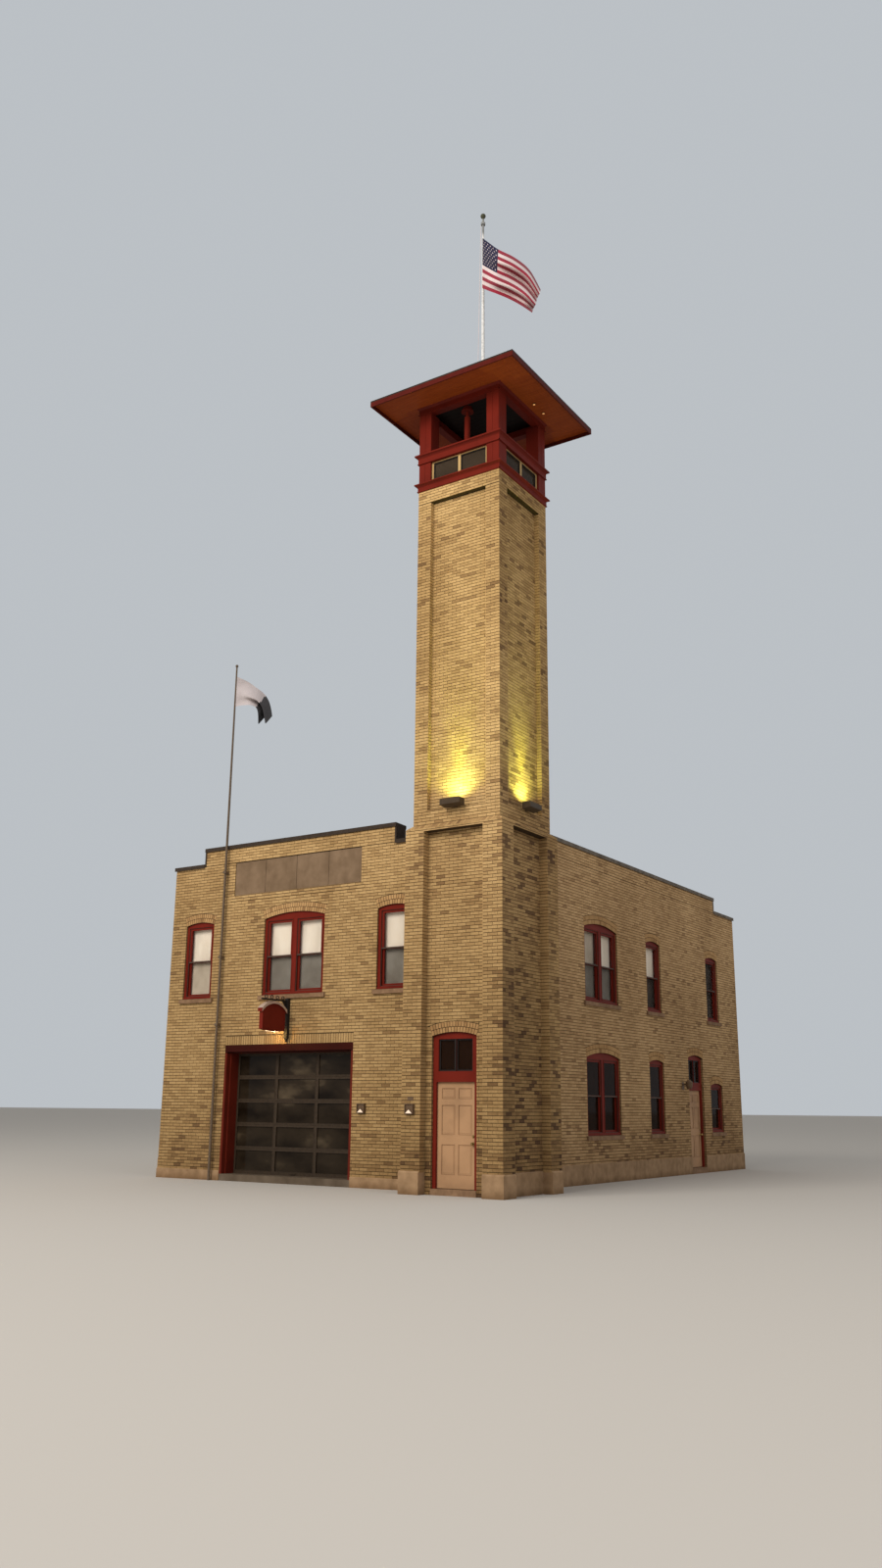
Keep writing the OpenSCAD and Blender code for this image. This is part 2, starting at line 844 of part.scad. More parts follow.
module window_sills() {
    color(stone) {
        on_front() window_stones(front_windows);
        on_right() window_stones(side_windows);
        on_left() window_stones(left_windows);
        on_rear() window_stones(rear_windows);
    }
}

module window_frames() {
    color(barn_red) {
        on_front() casements(front_windows);
        on_right() casements(side_windows);
        on_left() casements(left_windows);
        on_rear() casements(rear_windows);
    }
}

module window_glass() {
    color(pane_grey) {
        on_front() window_panes(front_windows);
        on_right() window_panes(side_windows);
        on_left() window_panes(left_windows);
        on_rear() window_panes(rear_windows);
        on_tower_door() transom_lights(tower_floor_z, leaf_set, leaf_set + glass_t);
        on_side_door() transom_lights(floor_z, leaf_set, leaf_set + glass_t);
        band_windows(band_trim_t / 2, band_trim_t / 2 + glass_t);
    }
}

module garage_frame() {
    x0 = garage_x0 + garage_lining;
    x1 = garage_x1 - garage_lining;
    color(barn_red) on_front() difference() {
        slab(garage_x0, garage_x1, 0, garage_set, floor_z, garage_z);
        slab(x0, x1, -past, garage_set + past, floor_z - past, garage_clear_z);
        slab(x0 - garage_step, x1 + garage_step, -past, garage_casing_t,
             floor_z - past, garage_clear_z + garage_step);
    }
}

// The cells of the garage door's grid, between two depths
module garage_cells(y0, y1) {
    for (i = [0 : garage_cols - 1], j = [0 : garage_rows - 1]) {
        x0 = garage_x - garage_door_w / 2 + garage_rail + i * garage_cell_w;
        z0 = floor_z + garage_rail + j * garage_cell_h;
        slab(x0, x0 + garage_cell_w - garage_rail, y0, y1, z0, z0 + garage_cell_h - garage_rail);
    }
}

module garage_door() {
    half = garage_door_w / 2;
    y1 = garage_set + garage_door_t;
    g = garage_groove;
    color(bronze) on_front() difference() {
        slab(garage_x - half, garage_x + half, garage_set, y1, floor_z, garage_door_z);
        garage_cells(garage_set - past, y1 + past);
        // Joints between the sections, on both faces
        for (j = [1 : garage_rows - 1]) {
            z = floor_z + garage_rail / 2 + j * garage_cell_h;
            for (y = [garage_set - past, y1 - g]) {
                slab(garage_x - half - past, garage_x + half + past, y, y + past + g, z - g / 2, z + g / 2);
            }
        }
    }
}

module garage_glass() {
    y = garage_set + garage_door_t / 2;
    color(pane_grey) on_front() garage_cells(y - glass_t / 2, y + glass_t / 2);
}

// The front wall of the tower, base and shaft, with its two sunk panels
module tower_front_mass() {
    difference() {
        union() {
            slab(-tower_w / 2, tower_w / 2, 0, base_pier, 0, base_z);
            slab(-shaft_half, shaft_half, shaft_step, base_pier, base_z, shaft_z);
        }
        slab(-tower_in, tower_in, -past, base_recess, -past, base_panel_z);
        slab(-tower_in, tower_in, 0, shaft_step + shaft_recess, shaft_panel_z, shaft_panel_top);
    }
}

// The front wall of the tower beside its door
module tower_front_piers() {
    half = door_open_w / 2;
    color(brick) on_tower(0) difference() {
        tower_front_mass();
        slab(-tower_w, tower_w, -past, base_pier + past, tower_split_z, shaft_z + past);
        slab(tower_door_offset - half, tower_door_offset + half, -past, base_pier + past,
             -past, tower_split_z + past);
    }
}

module tower_front_wall() {
    color(brick) on_tower(0) difference() {
        tower_front_mass();
        slab(-tower_w, tower_w, -past, base_pier + past, -past, tower_split_z);
        translate([tower_door_offset, -past, 0])
            arched(door_open_w, door_spring_z, door_rise, base_pier + 2 * past);
    }
}

// The shaft's wall between the front and the rear wall
module shaft_side() {
    slab(-tower_in, tower_in, shaft_step, base_pier, base_z, shaft_panel_z);
    slab(-tower_in, tower_in, shaft_step + shaft_recess, base_pier, shaft_panel_z, shaft_panel_top);
    slab(-tower_in, tower_in, shaft_step, base_pier, shaft_panel_top, shaft_z);
}

module tower_right_wall() {
    color(brick) on_tower(1) {
        slab(-tower_in, tower_in, base_recess, base_pier, 0, base_panel_z);
        slab(-tower_in, tower_in, 0, base_pier, base_panel_z, base_z);
        shaft_side();
    }
}

module tower_left_wall() {
    // The main front wall meets this face, and only the part before it has a sunk panel
    meets = tower_w / 2 - tower_forward;
    color(brick) on_tower(3) {
        difference() {
            slab(-tower_in, tower_in, 0, base_pier, 0, base_z);
            slab(meets, tower_in + past, -past, base_recess, -past, base_panel_z);
        }
        shaft_side();
    }
}

module tower_rear_wall() {
    meets = tower_aside - tower_w / 2;
    color(brick) on_tower(2) difference() {
        union() {
            slab(-tower_w / 2, tower_w / 2, 0, base_pier, 0, base_z);
            slab(-shaft_half, shaft_half, shaft_step, base_pier, base_z, shaft_z);
        }
        slab(-tower_in, meets, -past, base_recess, -past, base_panel_z);
        slab(-tower_in, tower_in, 0, shaft_step + shaft_recess, shaft_panel_z, shaft_panel_top);
    }
}

// Sloped ledge where the base steps in to the shaft
module tower_ledge() {
    color(brick) difference() {
        on_square([[shaft_half, base_z], [tower_w / 2, base_z], [shaft_half, base_z + ledge_h]]);
        on_right() parapet_stub();
    }
}

module door_steps() {
    nose = 20;
    half = door_open_w / 2;
    color(stone) {
        on_tower(0) translate([tower_door_offset, 0, 0])
            slab(-half, half, base_recess - nose, base_pier, 0, tower_floor_z);
        on_right() translate([side_door_y, 0, 0]) slab(-half, half, -foundation_out, wall_t, 0, floor_z);
    }
}

// The two lights of the window over a door, between two depths
module transom_lights(floor, y0, y1) {
    light_w = leaf_w / 2 + leaf_gap - transom_rim - transom_muntin / 2;
    for (x = [-light_w - transom_muntin / 2, transom_muntin / 2])
        slab(x, x + light_w, y0, y1, transom_z(floor), door_spring_z - transom_rim);
}

// Frame of a hinged door: X along the wall, Y into the building from the wall face
module door_frame(floor) {
    half = leaf_w / 2 + leaf_gap;
    back = leaf_set + leaf_t;
    top = leaf_z(floor) + leaf_h + leaf_gap;
    difference() {
        arched(door_open_w, door_spring_z, door_rise, back);
        slab(-door_open_w, door_open_w, -past, frame_front, -past, door_spring_z + door_rise + past);
        slab(-door_open_w, door_open_w, -past, back + past, -past, floor);
        // Rebate for the leaf, and the narrower light in front of it
        slab(-half, half, leaf_set - leaf_gap, back + past, floor - past, top);
        slab(-half + frame_stop, half - frame_stop, -past, leaf_set, floor - past, top - frame_stop);
        transom_lights(floor, -past, back + past);
    }
    // The frame's two knuckles of each hinge
    for (place = hinge_places) {
        z = leaf_z(floor) + place;
        for (z0 = [z - hinge_h / 2, z + hinge_h / 6]) {
            translate([hinge_x, hinge_y, z0]) cylinder(r = hinge_r, h = hinge_h / 3);
            slab(hinge_x - hinge_plate_w, hinge_x, back, back + hinge_plate_t, z0, z0 + hinge_h / 3);
        }
    }
}

// Panels of a leaf: sunk round their edges, with a raised field, on the face at y = 0
module leaf_panels(floor) {
    w = (leaf_w - 2 * leaf_stile - leaf_mid_stile) / 2;
    for (row = leaf_panel_rows, side = [-1, 1]) {
        h = row[1] * leaf_h;
        field = [w - 2 * leaf_panel_bevel, h - 2 * leaf_panel_bevel];
        cut = leaf_panel_depth + past;
        translate([side * (leaf_mid_stile + w) / 2, leaf_panel_depth, leaf_z(floor) + row[0] * leaf_h + h / 2])
            rotate([90, 0, 0]) difference() {
                translate([0, 0, cut / 2]) cube([w, h, cut], center = true);
                translate([0, 0, -past]) linear_extrude(height = past + leaf_field_rise)
                    square(field, center = true);
            }
    }
}

// Leaf of a hinged door, with its knuckles, knob and bolt
module door_leaf(floor) {
    back = leaf_set + leaf_t;
    difference() {
        slab(-leaf_w / 2, leaf_w / 2, leaf_set, back, leaf_z(floor), leaf_z(floor) + leaf_h);
        translate([0, leaf_set, 0]) leaf_panels(floor);
        translate([0, back, 0]) mirror([0, 1, 0]) leaf_panels(floor);
    }
    for (place = hinge_places) {
        z0 = leaf_z(floor) + place - hinge_h / 6 + hinge_gap;
        h = hinge_h / 3 - 2 * hinge_gap;
        translate([hinge_x, hinge_y, z0]) cylinder(r = hinge_r, h = h);
        slab(hinge_x, hinge_x + hinge_plate_w, back, back + hinge_plate_t, z0, z0 + h);
    }
    translate([leaf_w / 2 - knob_inset, leaf_set, leaf_z(floor) + knob_z]) rotate([90, 0, 0]) {
        cylinder(d = rose_d, h = rose_t);
        cylinder(d = knob_neck_d, h = knob_out);
        translate([0, 0, knob_out]) sphere(d = knob_d);
        translate([0, bolt_rise, 0]) cylinder(d = bolt_d, h = bolt_t);
    }
}

module door_frames() {
    color(barn_red) {
        on_tower_door() door_frame(tower_floor_z);
        on_side_door() door_frame(floor_z);
    }
}

module tower_door() color(door_beige) on_tower_door() door_leaf(tower_floor_z);

module side_door() color(door_beige) on_side_door() door_leaf(floor_z);

// A cornice round the tower: a board, a cove in three steps and a lip
module cornice(z0, h) {
    inner = shaft_half - band_t;
    board = shaft_half + cornice_board_out;
    lip = shaft_half + cornice_out;
    mid = (board + lip) / 2;
    cove = (cornice_board + cornice_cove) / 2;
    sag = 0.6;
    on_square([
        [inner, z0], [board, z0], [board, z0 + h * cornice_board],
        [board + (mid - board) * sag, z0 + h * cove],
        [lip - coping_lip, z0 + h * cornice_cove], [lip, z0 + h * cornice_cove],
        [lip, z0 + h - coping_lip], [lip - coping_lip, z0 + h], [inner, z0 + h]
    ]);
}

// The lower and the upper cornice, under and over the band of windows
module cornices() {
    color(barn_red) {
        cornice(shaft_z, cornice_low_h);
        cornice(cornice_high_z, cornice_high_h);
    }
}

// Square posts at the corners of the shaft, in the window band and in the open belfry
module corner_posts() {
    levels = [[band_z, cornice_high_z], [open_z, beam_z]];
    color(barn_red) translate([tower_x, tower_y, 0]) for (z = levels, turn = [0 : 3]) rotate(90 * turn)
        slab(-shaft_half, -shaft_half + post_w, -shaft_half, -shaft_half + post_w, z[0], z[1]);
}

// Between the posts of each face of the window band, from the face of the trim inwards
module in_band() {
    translate([tower_x, tower_y, 0]) for (turn = [0 : 3]) rotate(90 * turn)
        translate([0, -shaft_half + band_set, 0]) children();
}

// Two lights on each face of the window band, between two depths
module band_windows(y0, y1) {
    light_w = shaft_half - post_w - band_trim - band_mullion / 2;
    in_band() for (x = [-light_w - band_mullion / 2, band_mullion / 2])
        slab(x, x + light_w, y0, y1, band_z + band_trim / 2, cornice_high_z - band_trim / 2);
}

module belfry_window_trim() {
    half = shaft_half - post_w;
    color(cream) difference() {
        in_band() slab(-half, half, 0, band_trim_t, band_z, cornice_high_z);
        band_windows(-past, band_trim_t + past);
    }
}

module belfry_floor() {
    h = shaft_half - band_t;
    z = cornice_high_z + belfry_floor_rise;
    color("#6b4a35") translate([tower_x, tower_y, 0]) slab(-h, h, -h, h, z, z + belfry_floor_t);
}

// Head beam, with a crown moulding under the soffit
module belfry_beam() {
    inner = shaft_half - band_t;
    outer = shaft_half + beam_out;
    color(barn_red) on_square([
        [inner, beam_z], [outer, beam_z], [outer, eave_z - soffit_t - beam_crown],
        [outer + beam_crown, eave_z - soffit_t], [outer + beam_crown, eave_z], [inner, eave_z]
    ]);
}

module belfry_stand() {
    z = cornice_high_z + belfry_floor_rise + belfry_floor_t;
    color(barn_red) translate([tower_x, tower_y - shaft_half + stand_setback, z]) {
        cylinder(d = stand_d, h = stand_h);
        translate([0, 0, stand_h]) cylinder(d = stand_neck_d, h = stand_neck_h);
        translate([0, 0, stand_h + stand_neck_h])
            cylinder(d1 = stand_cap_d, d2 = stand_cap_top_d, h = stand_cap_h);
    }
}

module soffit() {
    outer = shaft_half + beam_out + beam_crown;
    ceiling = shaft_half - band_t;
    z0 = eave_z - soffit_t;
    color(soffit_brown) {
        on_square([[outer, z0], [roof_half - fascia_t, z0], [roof_half - fascia_t, eave_z], [outer, eave_z]]);
        translate([tower_x, tower_y, 0]) slab(-ceiling, ceiling, -ceiling, ceiling, z0, eave_z);
    }
}

// Hipped roof with its fascia, as one section carried round the square
module tower_roof() {
    inner_z = roof_top_z - roof_skin;
    color("#3f3a36") on_square([
        [0, roof_top_z], [roof_top_half, roof_top_z], [roof_half, eave_z + roof_edge_t],
        [roof_half, eave_z - fascia_h], [roof_half - fascia_t, eave_z - fascia_h],
        [roof_half - fascia_t, eave_z],
        [roof_half - roof_seat, eave_z], [roof_top_half, inner_z], [0, inner_z]
    ]);
}

module flagpole() {
    color("#d8d8d4") translate([tower_x, tower_y, 0]) {
        translate([0, 0, roof_top_z]) {
            cylinder(d1 = pole_collar_d, d2 = flagpole_d, h = pole_collar_h);
            cylinder(d1 = flagpole_d, d2 = flagpole_top_d, h = flagpole_z - roof_top_z);
        }
        translate([0, 0, flagpole_z - truck_below]) cylinder(d = truck_d, h = truck_h);
        translate([0, 0, flagpole_z]) sphere(d = flagpole_ball_d);
    }
}

// A flag that waves: a rippled sheet whose outline droops from the hoist to the fly
module waving_flag(reach, hoist, top_drop, foot_drop) {
    ripple = [
        for (i = [0 : flag_steps]) [reach * i, flag_wave * sin(flag_turns * i / flag_steps) * i] / flag_steps
    ];
    near = [for (p = ripple) [p[0], p[1] - flag_t / 2]];
    far = [for (i = [flag_steps : -1 : 0]) [ripple[i][0], ripple[i][1] + flag_t / 2]];
    intersection() {
        translate([0, 0, -hoist - foot_drop]) linear_extrude(height = hoist + foot_drop)
            polygon(concat(near, far));
        rotate([90, 0, 0]) linear_extrude(height = 4 * flag_wave, center = true)
            polygon([[0, 0], [reach, -top_drop], [reach, -hoist - foot_drop], [0, -hoist]]);
    }
}

// Radius of the tower flagpole at a height
function flagpole_r(z) =
    (flagpole_d + (flagpole_top_d - flagpole_d) * (z - roof_top_z) / (flagpole_z - roof_top_z)) / 2;

module flag() {
    top = flagpole_z - flag_below;
    color("#a03038") translate([tower_x + flagpole_r(top - flag_h) + flag_gap, tower_y, top])
        waving_flag(flag_l, flag_h, flag_top_drop, flag_foot_drop);
}

// The small pole stands on the ground and is clamped to the front wall
module wall_flagpole() {
    color(pole_grey) translate([wall_pole_x, front_y - wall_pole_out, 0]) {
        cylinder(d = wall_pole_d, h = parapet_z);
        translate([0, 0, parapet_z])
            cylinder(d1 = wall_pole_d, d2 = wall_pole_top_d, h = wall_pole_z - parapet_z);
        translate([0, 0, wall_pole_z]) sphere(d = wall_pole_ball_d);
        for (z = wall_pole_clamps) {
            slab(-clamp_w / 2, clamp_w / 2, -clamp_w / 2, clamp_w / 2, z, z + clamp_h);
            slab(-clamp_w / 4, clamp_w / 4, 0, wall_pole_out, z, z + clamp_h);
        }
    }
}

// Radius of the small pole at a height over the parapet
function wall_pole_r(z) =
    (wall_pole_d + (wall_pole_top_d - wall_pole_d) * (z - parapet_z) / (wall_pole_z - parapet_z)) / 2;

module small_flag() {
    top = wall_pole_z - small_flag_below;
    x = wall_pole_x + wall_pole_r(top - small_flag_h) + flag_gap;
    color("#d9d9d9") translate([x, front_y - wall_pole_out, top])
        waving_flag(small_flag_l, small_flag_h, small_flag_drop, small_flag_drop);
}

// Radius of the arched top of the sign's board
sign_r = arc_r(sign_w, sign_rise);

// Outline of the sign's board: straight sides, a bowed foot and an arched top
module sign_outline(inset) {
    foot_r = arc_r(sign_w, sign_foot_rise);
    intersection() {
        translate([inset - sign_w / 2, 0]) square([sign_w - 2 * inset, sign_h + sign_rise]);
        translate([0, sign_h + sign_rise - sign_r]) circle(r = sign_r - inset, $fn = arch_fn);
        translate([0, foot_r]) circle(r = foot_r - inset, $fn = arch_fn);
    }
}

// An arched hood over the sign's board, which stands out past its sides and faces
module sign_hood() {
    half = sign_w / 2 + hood_over;
    linear_extrude(height = sign_t + 2 * hood_lip, center = true)
        translate([0, sign_h + sign_rise - sign_r]) difference() {
            intersection() {
                circle(r = sign_r + hood_t, $fn = arch_fn);
                translate([-half, 0]) square([2 * half, sign_r + hood_t]);
            }
            circle(r = sign_r - hood_drip, $fn = arch_fn);
        }
}

module sign_board() {
    middle = sign_gap + sign_w / 2;
    color(barn_red) on_front() {
        translate([sign_x, -middle, sign_z]) rotate([90, 0, 90]) {
            difference() {
                linear_extrude(height = sign_t, center = true) sign_outline(0);
                // Both faces are sunk inside a rim
                for (side = [-1, 1]) translate([0, 0, side * sign_t / 2])
                    linear_extrude(height = 2 * sign_sink, center = true) sign_outline(sign_trim);
            }
            sign_hood();
        }
        // Hangers up to the arm of the bracket
        for (side = [-1, 1]) {
            y = side * sign_w / 4;
            foot = sign_z + sign_h + sign_rise - sign_r + sqrt(sign_r * sign_r - y * y);
            translate([sign_x, y - middle, foot]) cylinder(d = hanger_d, h = arm_z - foot);
        }
    }
}

module sign_bracket() {
    b = bracket_w / 2;
    arm = bracket_arm / 2;
    reach = sign_gap + sign_w;
    arm_top = arm_z + bracket_arm;
    // The foot of a scroll is let half its bar into the arm
    scroll_z = arm_top + bracket_scroll_r - bracket_scroll_t / 2;
    color("#1d1b1a") on_front() translate([sign_x, 0, 0]) {
        slab(-b, b, -bracket_w, 0, bracket_z, bracket_top);
        // Pointed foot
        translate([0, -b, bracket_z - bracket_point]) rotate(45)
            cylinder(d1 = hanger_d, d2 = bracket_w, h = bracket_point, $fn = 4);
        slab(-arm, arm, -reach, -bracket_w, arm_z, arm_top);
        // Corner plate under the arm
        run(-gusset_t / 2, gusset_t / 2, [
            [-bracket_w, arm_z], [-bracket_w - gusset_w, arm_z], [-bracket_w, arm_z - gusset_h]
        ]);
        // Scrolls on the arm
        for (i = [0 : bracket_scrolls - 1]) {
            y = -sign_gap - bracket_scroll_r - i * sign_w / bracket_scrolls;
            translate([0, y, scroll_z]) rotate([0, 90, 0]) difference() {
                cylinder(r = bracket_scroll_r, h = bracket_scroll_w, center = true);
                cylinder(r = bracket_scroll_r - bracket_scroll_t, h = bracket_scroll_w + past, center = true);
            }
        }
    }
}

// A floodlight: a tilted box that opens upwards, on an arm from the wall at y = 0
module floodlight() {
    w = flood_wall;
    mid = flood_h / 2;
    translate([0, -flood_off, flood_z]) difference() {
        run(-flood_l / 2, flood_l / 2, [[0, 0], [-flood_w, flood_tilt], [-flood_w, flood_h], [0, flood_h]]);
        run(-flood_l / 2 + w, flood_l / 2 - w,
            [[-w, mid], [w - flood_w, mid + flood_tilt / 2], [w - flood_w, flood_h + past],
             [-w, flood_h + past]]);
    }
    slab(-flood_arm_w, flood_arm_w, -flood_off, 0, flood_z, flood_z + flood_arm_z);
}

module floodlights() {
    color(bronze) {
        for (turn = [0, 1]) on_tower(turn) translate([0, shaft_step, 0]) floodlight();
        z = eave_z - soffit_t - soffit_lamp_h;
        for (y = soffit_lamp_y) translate([tower_x + soffit_lamp_x, tower_y + y, z])
            cylinder(d = soffit_lamp_d, h = soffit_lamp_h);
    }
}

// A square wall lamp with a sunk face
module square_lamp() {
    h = lamp_w / 2;
    translate([0, 0, lamp_z]) difference() {
        slab(-h, h, -lamp_t, 0, 0, lamp_w);
        run(-h + lamp_rim, h - lamp_rim, [
            [-lamp_t - past, lamp_rim], [-lamp_t / 2, lamp_rim], [-lamp_t + lamp_rim, lamp_w - lamp_rim],
            [-lamp_t - past, lamp_w - lamp_rim]
        ]);
    }
}

module wall_lamps() {
    p = lantern_plate / 2;
    top = lantern_z;
    arm_z = top - lantern_plate;
    color(bronze) {
        on_front() translate([lamp_front_x, 0, 0]) square_lamp();
        on_tower(0) translate([lamp_tower_x, 0, 0]) square_lamp();
        on_right() translate([lantern_y, 0, 0]) {
            slab(-p, p, -lamp_rim, 0, arm_z - lantern_plate, arm_z + p);
            slab(-lamp_rim, lamp_rim, -lantern_out, -lamp_rim, arm_z - lamp_rim, arm_z + lamp_rim);
            translate([0, -lantern_out, top - lantern_h]) {
                cylinder(d1 = lantern_foot_d, d2 = lantern_d, h = lantern_glass_h);
                translate([0, 0, lantern_glass_h])
                    cylinder(d1 = lantern_d, d2 = lantern_top_d, h = lantern_h - lantern_glass_h);
            }
        }
    }
}

ground_floor();
front_piers();
front_wall_upper();
side_wall_front();
side_wall_rear();
side_wall_over_door();
left_wall();
rear_wall();
upper_floor();
roof_deck();
foundation();
front_coping();
side_coping();
inscription_panel();
window_sills();
window_frames();
window_glass();
garage_frame();
garage_door();
garage_glass();
tower_front_piers();
tower_front_wall();
tower_right_wall();
tower_left_wall();
tower_rear_wall();
tower_ledge();
door_steps();
door_frames();
tower_door();
side_door();
cornices();
corner_posts();
belfry_window_trim();
belfry_floor();
belfry_beam();
belfry_stand();
soffit();
tower_roof();
flagpole();
flag();
wall_flagpole();
small_flag();
sign_bracket();
sign_board();
floodlights();
wall_lamps();
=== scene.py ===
"""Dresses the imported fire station: brickwork, boards, glass, blinds, flags, lamps and light."""

import math

import bpy
import numpy as np
from mathutils import Matrix, Vector
from mathutils import noise as perlin


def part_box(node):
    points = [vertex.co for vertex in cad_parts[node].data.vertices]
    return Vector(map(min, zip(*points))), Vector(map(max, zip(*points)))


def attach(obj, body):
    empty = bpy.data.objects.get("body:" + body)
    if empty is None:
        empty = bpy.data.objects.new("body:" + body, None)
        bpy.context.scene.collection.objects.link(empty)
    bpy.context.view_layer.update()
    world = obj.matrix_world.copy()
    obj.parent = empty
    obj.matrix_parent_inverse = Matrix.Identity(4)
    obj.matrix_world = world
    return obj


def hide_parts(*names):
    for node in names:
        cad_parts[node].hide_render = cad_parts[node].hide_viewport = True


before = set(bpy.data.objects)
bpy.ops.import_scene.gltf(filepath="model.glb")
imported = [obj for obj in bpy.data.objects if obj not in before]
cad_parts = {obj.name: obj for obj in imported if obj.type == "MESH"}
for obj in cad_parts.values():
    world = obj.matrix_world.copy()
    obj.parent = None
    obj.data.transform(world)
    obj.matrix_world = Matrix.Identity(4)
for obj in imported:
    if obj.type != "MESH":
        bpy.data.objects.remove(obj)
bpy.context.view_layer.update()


# Sizes, in metres

def span(name, axis):
    """Where a CAD node starts and ends along an axis, to a tenth of a millimetre."""
    return tuple(round(corner["xyz".index(axis)], 4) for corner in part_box(name))


def centre(name, axis):
    """The middle of a CAD node along an axis, and half its size there."""
    low, high = span(name, axis)
    return round((low + high) / 2, 4), round((high - low) / 2, 4)


LEFT, RIGHT = span("rear_wall", "x")
FRONT = span("front_piers", "y")[0]
REAR = span("rear_wall", "y")[1]
WALL = 2 * centre("rear_wall", "y")[1]
PARAPET, PARAPET_LOW = span("front_wall_upper", "z")[1], span("left_wall", "z")[1]
RAISED_LEFT, RAISED_RIGHT, RAISED_REAR = -3.54, 2.19, 5.77
ROOF_DECK = span("roof_deck", "z")[1]
FLOOR = span("ground_floor", "z")[1]
# Bottom of the bricks behind the rendered foot of the front, and of the other walls
FRONT_FOOT, FOOT = 0.2, 0.42

TOWER = Vector((centre("tower_ledge", "x")[0], centre("tower_ledge", "y")[0], 0))
BASE_HALF = centre("tower_ledge", "x")[1]
BASE_TOP, LEDGE = span("tower_ledge", "z")[0], 2 * centre("tower_ledge", "z")[1]
TOWER_LEFT, TOWER_REAR = TOWER.x - BASE_HALF, TOWER.y + BASE_HALF
TOWER_FLOOR = span("door_frames", "z")[0]
PANEL_HALF = BASE_HALF - 2 * centre("tower_left_wall", "x")[1]
BASE_RECESS, BASE_PANEL_TOP = 0.20, 7.285
SHAFT_HALF, SHAFT_TOP = centre("corner_posts", "x")[1], span("cornices", "z")[0]
SHAFT_RECESS, SHAFT_PANEL = 0.115, (7.76, 14.99)

BAND = span("belfry_window_trim", "z")
OPEN = (span("cornices", "z")[1], span("belfry_beam", "z")[0])
POST, BAND_SET, BAND_TRIM, BAND_MULLION = 0.32, 0.045, 0.05, 0.07
SOFFIT, EAVE = span("soffit", "z")
ROOF_HALF, ROOF_TOP = centre("tower_roof", "x")[1], span("tower_roof", "z")[1]
ROOF_TOP_HALF, ROOF_EDGE = 0.11, 0.028
ROOF_FOOT = EAVE + ROOF_EDGE
ROOF_RISE, ROOF_RUN = ROOF_TOP - EAVE - ROOF_EDGE, ROOF_HALF - ROOF_TOP_HALF
FASCIA_T, SOFFIT_INNER, CEILING = 0.03, 1.125, 0.915
FLAG_TOP = span("flag", "z")[1]

SINGLE, PAIR = 0.92, 1.81
RISES = {SINGLE: 0.07, PAIR: 0.12}
WINDOW_H, SMALL_H = 1.78, 1.27
LOWER, UPPER = 1.06, 4.14
# The side wall's one short window, by its middle and its sill
SMALL_AT = (5.40, LOWER)
CASING, CASING_FOOT, CASING_HEAD, MULLION, WINDOW_SET = 0.08, 0.065, 0.05, 0.14, 0.038

DOOR_W, DOOR_SPRING, DOOR_RISE = 1.06, 3.055, 0.075
DOOR_X, SIDE_DOOR_Y = 4.26, 3.875
LEAF_W, LEAF_H, LEAF_FOOT_GAP, LEAF_SET, TRANSOM = 0.915, 2.030, 0.010, 0.110, 0.205
GARAGE, GARAGE_TOP = span("garage_frame", "x"), span("garage_frame", "z")[1]
FLOOD_TOP = 7.84
LAMP, LAMP_FOOT = 0.20, span("wall_lamps", "z")[0]

COURSE, MODULE, JOINT, HEAD_JOINT, ROWLOCK = 0.069, 0.215, 0.012, 0.007, 0.098
# How far a brick's face stands out from its wall, and how far its back is sunk into it
BRICK_OUT, SUNK = 0.005, -0.002


def chance(*keys):
    """A number from 0 to 1 that is always the same for the same whole numbers."""
    word, k = 0xFFFFFFFF, 0x9E3779B9
    for key in keys:
        k = ((k ^ (int(key) & word)) * 0x85EBCA6B) & word
        k ^= k >> 13
        k = (k * 0xC2B2AE35) & word
        k ^= k >> 16
    return k / word


# Materials

def feed(tree, socket, value):
    """Links a socket to another one, or sets its number, vector or colour."""
    if hasattr(value, "links"):
        tree.links.new(value, socket)
    else:
        socket.default_value = (*value, 1) if socket.type == "RGBA" else value


def node(tree, kind, **values):
    """A shader node; a value named after an input feeds it, and any other sets an attribute."""
    made = tree.nodes.new("ShaderNode" + kind)
    for key, value in values.items():
        if key in made.inputs:
            feed(tree, made.inputs[key], value)
        else:
            setattr(made, key, value)
    return made


def calculate(tree, operation, *values):
    """The result of a Math node that is fed with numbers or sockets."""
    made = node(tree, "Math", operation=operation)
    for socket, value in zip(made.inputs, values):
        feed(tree, socket, value)
    return made.outputs[0]


def place(tree, axis=None, kind="Object"):
    """A point's place on the object, or its normal, whole or along one axis."""
    whole = node(tree, "TexCoord").outputs[kind]
    return node(tree, "SeparateXYZ", Vector=whole).outputs[axis] if axis else whole


def noise(tree, scale, detail=4.0, stretch=(1, 1, 1)):
    mapped = node(tree, "Mapping", Scale=stretch, Vector=place(tree)).outputs["Vector"]
    return node(tree, "TexNoise", Scale=scale, Detail=detail, Vector=mapped).outputs["Fac"]


def ramp(tree, source, stops):
    """A colour ramp of (place, colour) stops fed by a socket."""
    made = node(tree, "ValToRGB", Fac=source)
    points = made.color_ramp.elements
    while len(points) < len(stops):
        points.new(0.5)
    for point, (where, colour) in zip(points, stops):
        point.position = where
        point.color = (*colour, 1)
    return made.outputs["Color"]


def clouds(tree, dark, light, scale, detail=6, stretch=(1, 1, 1), at=(0.3, 0.7)):
    """Noise from a dark colour to a light one."""
    return ramp(tree, noise(tree, scale, detail, stretch), list(zip(at, (dark, light))))


def blend(tree, kind, factor, a, b):
    """Two colours mixed; each of factor, a and b is a socket or a value."""
    return node(tree, "MixRGB", blend_type=kind, Fac=factor, Color1=a, Color2=b).outputs["Color"]


